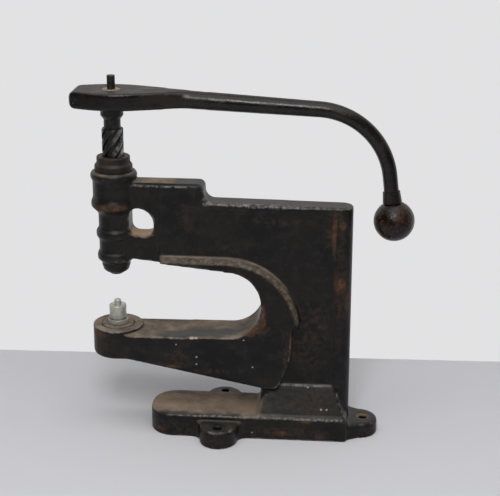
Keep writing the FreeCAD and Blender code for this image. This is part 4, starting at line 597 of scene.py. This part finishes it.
# %% Nut bush finish
def make_bush_finish():
    material, tree, shader = new_finish("bush_steel", specular=0.35)
    wear = use(tree, edge_wear, Start=0.12, End=0.6, Scale=260.0)
    dust = use(tree, settled_dust, Steep=0.3, Flat=0.9, Patchiness=0.5, Scale=160.0)["Mask"]
    rust = use(tree, blotches, Scale=120.0, Low=0.46, High=0.64)["Mask"]
    colour = blend(tree, rust, rgb(0.0110, 0.0090, 0.0080), rgb(0.034, 0.019, 0.012))
    colour = lay_over(tree, colour, wear["Worn"], 0.7, rgb(0.085, 0.062, 0.044))
    colour = lay_over(tree, colour, dust, 0.6, rgb(0.060, 0.044, 0.032))
    skin = use(tree, rough_skin, Grain=0.5, Grain_scale=900.0, Lumps=0.8, Lump_scale=260.0)
    finish_with(tree, shader, colour, between(tree, rust, 0.5, 0.78), 0.15, skin["Height"], 0.0005)
    return material


bush_steel = make_bush_finish()


# %% Dark small pieces
def make_dark_steel():
    material, tree, shader = new_finish("dark_steel", specular=0.4)
    rust = use(tree, blotches, Scale=300.0, Low=0.45, High=0.68)["Mask"]
    dust = use(tree, settled_dust, Steep=0.4, Flat=0.95, Patchiness=0.5, Scale=300.0)["Mask"]
    colour = blend(tree, rust, rgb(0.012, 0.011, 0.011), rgb(0.034, 0.024, 0.017))
    colour = lay_over(tree, colour, dust, 0.6, rgb(0.075, 0.058, 0.044))
    skin = use(tree, rough_skin, Grain=0.3, Grain_scale=1600.0, Lumps=0.6, Lump_scale=500.0)
    finish_with(tree, shader, colour, between(tree, rust, 0.42, 0.7), 0.2, skin["Height"], 0.0003)
    return material


dark_steel = make_dark_steel()


# %% [markdown]
# ### The dies
# The lower die is the one piece that was kept clean. Its bright steel has dulled to a greyish
# green, with faint turning marks and dirt at the foot of the flange.


# %% Die finish
def make_die_finish():
    material, tree, shader = new_finish("die_steel", specular=0.5)
    lines = use(tree, turned_lines, Scale=2600.0, Stretch=0.03)["Lines"]
    dull = use(tree, blotches, Scale=190.0, Low=0.40, High=0.66)["Mask"]
    colour = blend(tree, lines, rgb(0.46, 0.465, 0.41), rgb(0.56, 0.56, 0.51))
    colour = lay_over(tree, colour, dull, 0.55, rgb(0.300, 0.290, 0.220))
    height = add(tree, "SeparateXYZ", Vector=here(tree)).outputs["Z"]
    foot = inverse(tree, step(tree, height, 0.1066, 0.1085))
    seam = times(tree, step(tree, height, 0.1110, 0.1116),
                 inverse(tree, step(tree, height, 0.1118, 0.1135)))
    colour = lay_over(tree, colour, all_of(tree, [foot, seam]), 0.6, rgb(0.05, 0.042, 0.032))
    finish_with(tree, shader, colour, between(tree, dull, 0.36, 0.58), 0.62, lines, 0.00015)
    return material


die_steel = make_die_finish()

# %% [markdown]
# ## Cast and forged skins
# The solids have crisp corners where their bodies meet. A real casting has a soft radius at every
# inside corner, because sand can't hold a sharp one, and every outside corner is blunt. Modelling
# each radius by hand would take long, and a voxel remesh does them all: it rebuilds a merged copy
# of the solid from small cells, and a few rounds of smoothing soften it. Bores, seats and the
# underside are machined, so their points go back to the solid. While the soft and the sharp shape
# are both at hand, each point also keeps how far it stands out: this number, called ridge, drives
# the wear along edges, which on the enamel is also lightened as a painted highlight, and the dirt
# in corners.

# %% Helpers for the skins
MELT_ROUNDS = 24
BAND_SEARCH = 0.006
BAND_EDGE = 0.0018
BAND_FADE = 0.0012


def merged_copy(node):
    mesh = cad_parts[node].data.copy()
    work = bmesh.new()
    work.from_mesh(mesh)
    bmesh.ops.remove_doubles(work, verts=work.verts, dist=1e-6)
    bmesh.ops.recalc_face_normals(work, faces=work.faces)
    work.to_mesh(mesh)
    return mesh, work


def remeshed(mesh, cell):
    holder = bpy.data.objects.new("remesh", mesh)
    bpy.context.scene.collection.objects.link(holder)
    voxels = holder.modifiers.new("voxels", "REMESH")
    voxels.mode = "VOXEL"
    voxels.voxel_size = cell
    voxels.adaptivity = 0.0
    result = holder.evaluated_get(bpy.context.evaluated_depsgraph_get())
    shape = bpy.data.meshes.new_from_object(result)
    bpy.data.objects.remove(holder)
    return shape


def smoothed(work, rounds, where=None):
    """Smooth the whole shape, or only the points for which where is true."""
    for _ in range(rounds):
        verts = [vert for vert in work.verts if where(vert.co)] if where else work.verts
        bmesh.ops.smooth_vert(work, verts=verts, factor=0.5, use_axis_x=True, use_axis_y=True,
                              use_axis_z=True)


def mark_ridge(work, spread, cell):
    """Give each point a number that says how far it stands out, in cells."""
    soft = work.copy()
    smoothed(soft, spread)
    work.normal_update()
    work.verts.ensure_lookup_table()
    soft.verts.ensure_lookup_table()
    ridge = work.verts.layers.float.new("ridge")
    for vert in work.verts:
        vert[ridge] = (vert.co - soft.verts[vert.index].co).dot(vert.normal) / cell
    soft.free()


def mark_band(work, solid, band_faces):
    """Give each point a number that says how close it is to certain faces of the solid."""
    source = bmesh.new()
    source.from_mesh(solid)
    others = [face for face in source.faces if not band_faces(face)]
    bmesh.ops.delete(source, geom=others, context="FACES")
    near_band = BVHTree.FromBMesh(source)
    print("faces of the band:", len(source.faces))
    source.free()
    band = work.verts.layers.float.new("band")
    for vert in work.verts:
        far = near_band.find_nearest(vert.co, BAND_SEARCH)[3]
        close = 0.0 if far is None else (BAND_EDGE - far) / BAND_FADE
        vert[band] = min(1.0, max(0.0, close))


# %% Build a softened skin over a solid
def soft_skin(name, node, body, cell, rounds, machined, material, spread=8, band_faces=None,
              melt=None):
    """A remeshed and smoothed copy of a node that stands for it and moves with its body."""
    solid, merged = merged_copy(node)
    surface = BVHTree.FromBMesh(merged)
    merged.free()
    work = bmesh.new()
    work.from_mesh(remeshed(solid, cell))
    smoothed(work, rounds)
    if melt:
        smoothed(work, MELT_ROUNDS, melt)
    for vert in work.verts:
        if machined(vert.co):
            vert.co = surface.find_nearest(vert.co)[0]
    mark_ridge(work, spread, cell)
    if band_faces:
        mark_band(work, solid, band_faces)
    mesh = bpy.data.meshes.new(name)
    work.to_mesh(mesh)
    work.free()
    mesh.shade_smooth()
    mesh.materials.append(material)
    piece = bpy.data.objects.new(name, mesh)
    bpy.context.scene.collection.objects.link(piece)
    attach(piece, body)
    # The frame already holds materials of the slots' names, so Blender adds .001 to these.
    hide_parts(node)
    print(name, "has", len(mesh.polygons), "faces from", len(solid.polygons))


# %% [markdown]
# ### The casting
# A cell of 1.35 mm keeps the mesh under 200,000 triangles and gives radii of about 2 mm, like
# those in the photograph.

# %% What is machined on the casting, in metres
BARREL_BORES = [(0.0142, 0.163), (0.0085, 0.155)]  # radius and lowest point
DIE_SEATS = [(0.0250, 0.1030), (0.0166, 0.088)]  # radius and lowest point
SEAT_TOP = 0.12
LUG_HOLES = [(0.0, 0.042), (0.0, -0.042), (0.1395, 0.0)]
LUG_HOLE_REACH = 0.0052
LUG_TOP = 0.0185
UNDERSIDE = 0.0012


def casting_machined(spot):
    """Barrel bores, die seat, screw holes and underside keep the solid's exact surface."""
    reach = math.hypot(spot.x - SCREW_X, spot.y)
    in_barrel = any(reach < radius and spot.z > low for radius, low in BARREL_BORES)
    in_seat = any(reach < radius and low < spot.z < SEAT_TOP for radius, low in DIE_SEATS)
    in_hole = spot.z < LUG_TOP and any(
        math.hypot(spot.x - x, spot.y - y) < LUG_HOLE_REACH for x, y in LUG_HOLES)
    return in_barrel or in_seat or in_hole or spot.z < UNDERSIDE


# %% Casting skin
CASTING_CELL = 0.00135
RIM_FOOT = 0.0125  # the raised rim stands further out from the middle plane than this


def rim_waist(spot):
    """The kink in the rim's back, which is blunted more than the other corners."""
    return 0.066 < spot.x < 0.080 and abs(spot.y) > RIM_FOOT and 0.106 < spot.z < 0.127


def on_rim_bevel(face):
    """Faces of the bevel along the raised rim: they look half forwards or half backwards."""
    middle = face.calc_center_median()
    return (0.5 < abs(face.normal.y) < 0.9 and abs(middle.y) > RIM_FOOT
            and -0.06 < middle.x < 0.080 and 0.085 < middle.z < 0.185)


soft_skin("casting_skin", "frame", "press", CASTING_CELL, 2, casting_machined, enamel_iron,
          spread=3, band_faces=on_rim_bevel, melt=rim_waist)

# %% [markdown]
# ### The lever and the nut bush
# The forging gets smaller cells, so that its eye stays round, and the bush's bore goes back to the
# solid.

# %% Lever and bush skins
LEVER_CELL = 0.0009
BUSH_CELL = 0.0006


def lever_machined(spot):
    """The eye round the screw, and the rod's end in the collar."""
    reach = math.hypot(spot.x - SCREW_X, spot.y)
    return reach < 0.0106 or spot.z < 0.2480 and spot.x > 0.0


def where_rod_grows(spot):
    """The part of the head that runs out into the rod."""
    return -0.052 < spot.x < -0.012


def bush_machined(spot):
    """The bush's bore, and its lower part in the barrel."""
    return math.hypot(spot.x - SCREW_X, spot.y) < 0.0112 or spot.z < 0.2598


soft_skin("lever_skin", "lever", "screw_group", LEVER_CELL, 4, lever_machined, lever_steel,
          melt=where_rod_grows)
soft_skin("nut_bush_skin", "nut_bush", "press", BUSH_CELL, 3, bush_machined, bush_steel)

# %% [markdown]
# ## Finishes on the solids that stay
# The other solids already have the right shape, so they only get their finish.

# %% Give each solid its finish
FINISH_OF = {
    "frame": enamel_iron, "nut_bush": bush_steel, "spindle": screw_steel, "lever": lever_steel,
    "knob_collar": lever_steel, "ball_knob": knob_iron, "lever_key": screw_steel,
    "top_stud": dark_steel, "head_cross_pin": lever_steel, "ram": screw_steel,
    "ram_retaining_pins": dark_steel, "thrust_button": die_steel, "upper_die": dark_steel,
    "anvil_seat": enamel_iron, "anvil": die_steel, "pilot_pin": die_steel,
    "pilot_spring": screw_steel, "pilot_plug": dark_steel, "bush_lock_screw": dark_steel,
    "guide_screw": dark_steel, "die_set_screw": dark_steel, "anvil_set_screw": dark_steel,
}
for node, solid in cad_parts.items():
    solid.data.materials.clear()
    solid.data.materials.append(FINISH_OF[node])
print("solids with a finish:", len(FINISH_OF))

# %% [markdown]
# ## Studio
# The press stands on a pale table in front of a white wall. The wall's own colour is shown to the
# camera and in reflections, but as a light it counts as a darker wall, so that it doesn't brighten
# the black casting. From behind it is clear, so that the back of the press can be seen. One wide
# lamp overhead lights the tops, and one in front fills.


# %% Floor and wall
def flat_piece(name, corners, material):
    work = bmesh.new()
    work.faces.new([work.verts.new(corner) for corner in corners])
    mesh = bpy.data.meshes.new(name)
    work.to_mesh(mesh)
    work.free()
    mesh.materials.append(material)
    piece = bpy.data.objects.new(name, mesh)
    bpy.context.scene.collection.objects.link(piece)


def table_material(colour):
    material, tree, shader = new_finish("table", specular=0.1)
    finish_with(tree, shader, colour, 0.9)
    return material


def wall_material(colour, as_light):
    """Shows its colour to the camera and in reflections, lights less, and is clear from behind."""
    material, tree, shader = new_finish("wall", specular=0.0)
    finish_with(tree, shader, as_light, 1.0)
    rays = add(tree, "LightPath").outputs
    shown_to = ("Is Camera Ray", "Is Glossy Ray", "Is Transmission Ray")
    seen = all_of(tree, [rays[kind] for kind in shown_to])
    glow = add(tree, "Emission", Color=colour, Strength=1.0)
    front = add(tree, "MixShader", _0=seen, _1=shader.outputs[0], _2=glow.outputs[0])
    behind = add(tree, "NewGeometry").outputs["Backfacing"]
    clear = add(tree, "BsdfTransparent")
    mix = add(tree, "MixShader", _0=behind, _1=front.outputs[0], _2=clear.outputs[0])
    out = next(node for node in tree.nodes if node.type == "OUTPUT_MATERIAL")
    tree.links.new(mix.outputs[0], out.inputs["Surface"])
    return material


HALF = 3  # metres from the middle to the table's and the wall's ends
WALL_Y = 0.168
WALL_TURN = 0.085  # how far the wall's ends stand in front of and behind WALL_Y
NEAR_END, FAR_END = WALL_Y - WALL_TURN, WALL_Y + WALL_TURN

flat_piece("floor", [(-HALF, -HALF, 0), (HALF, -HALF, 0), (HALF, HALF, 0), (-HALF, HALF, 0)],
           table_material(rgb(0.65, 0.65, 0.675)))
flat_piece("wall", [(-HALF, NEAR_END, 0), (HALF, FAR_END, 0), (HALF, FAR_END, HALF),
                    (-HALF, NEAR_END, HALF)],
           wall_material(rgb(0.76, 0.76, 0.77), rgb(0.42, 0.42, 0.43)))


# %% Lamps and the faint light from all round
def lamp(name, place, target, size, watts):
    light = bpy.data.lights.new(name, "AREA")
    light.shape = "RECTANGLE"
    light.size, light.size_y = size
    light.energy = watts
    stand = bpy.data.objects.new(name, light)
    bpy.context.scene.collection.objects.link(stand)
    way = Vector(target) - Vector(place)
    turn = way.to_track_quat("-Z", "Y").to_matrix().to_4x4()
    stand.matrix_world = Matrix.Translation(place) @ turn


lamp("overhead", (0.0, -0.15, 1.55), (0.0, 0.0, 0.15), (1.8, 1.4), 17.0)
lamp("front", (0.03, -1.35, 1.42), (0.0, 0.0, 0.2), (0.6, 0.6), 17.0)

world = bpy.data.worlds.new("studio")
world.use_nodes = True
background = world.node_tree.nodes["Background"].inputs
background["Color"].default_value = rgb(1.0, 1.0, 1.0)
background["Strength"].default_value = 0.09
bpy.context.scene.world = world
bpy.context.scene.view_settings.view_transform = "Standard"
print("lamps:", len(bpy.data.lights))
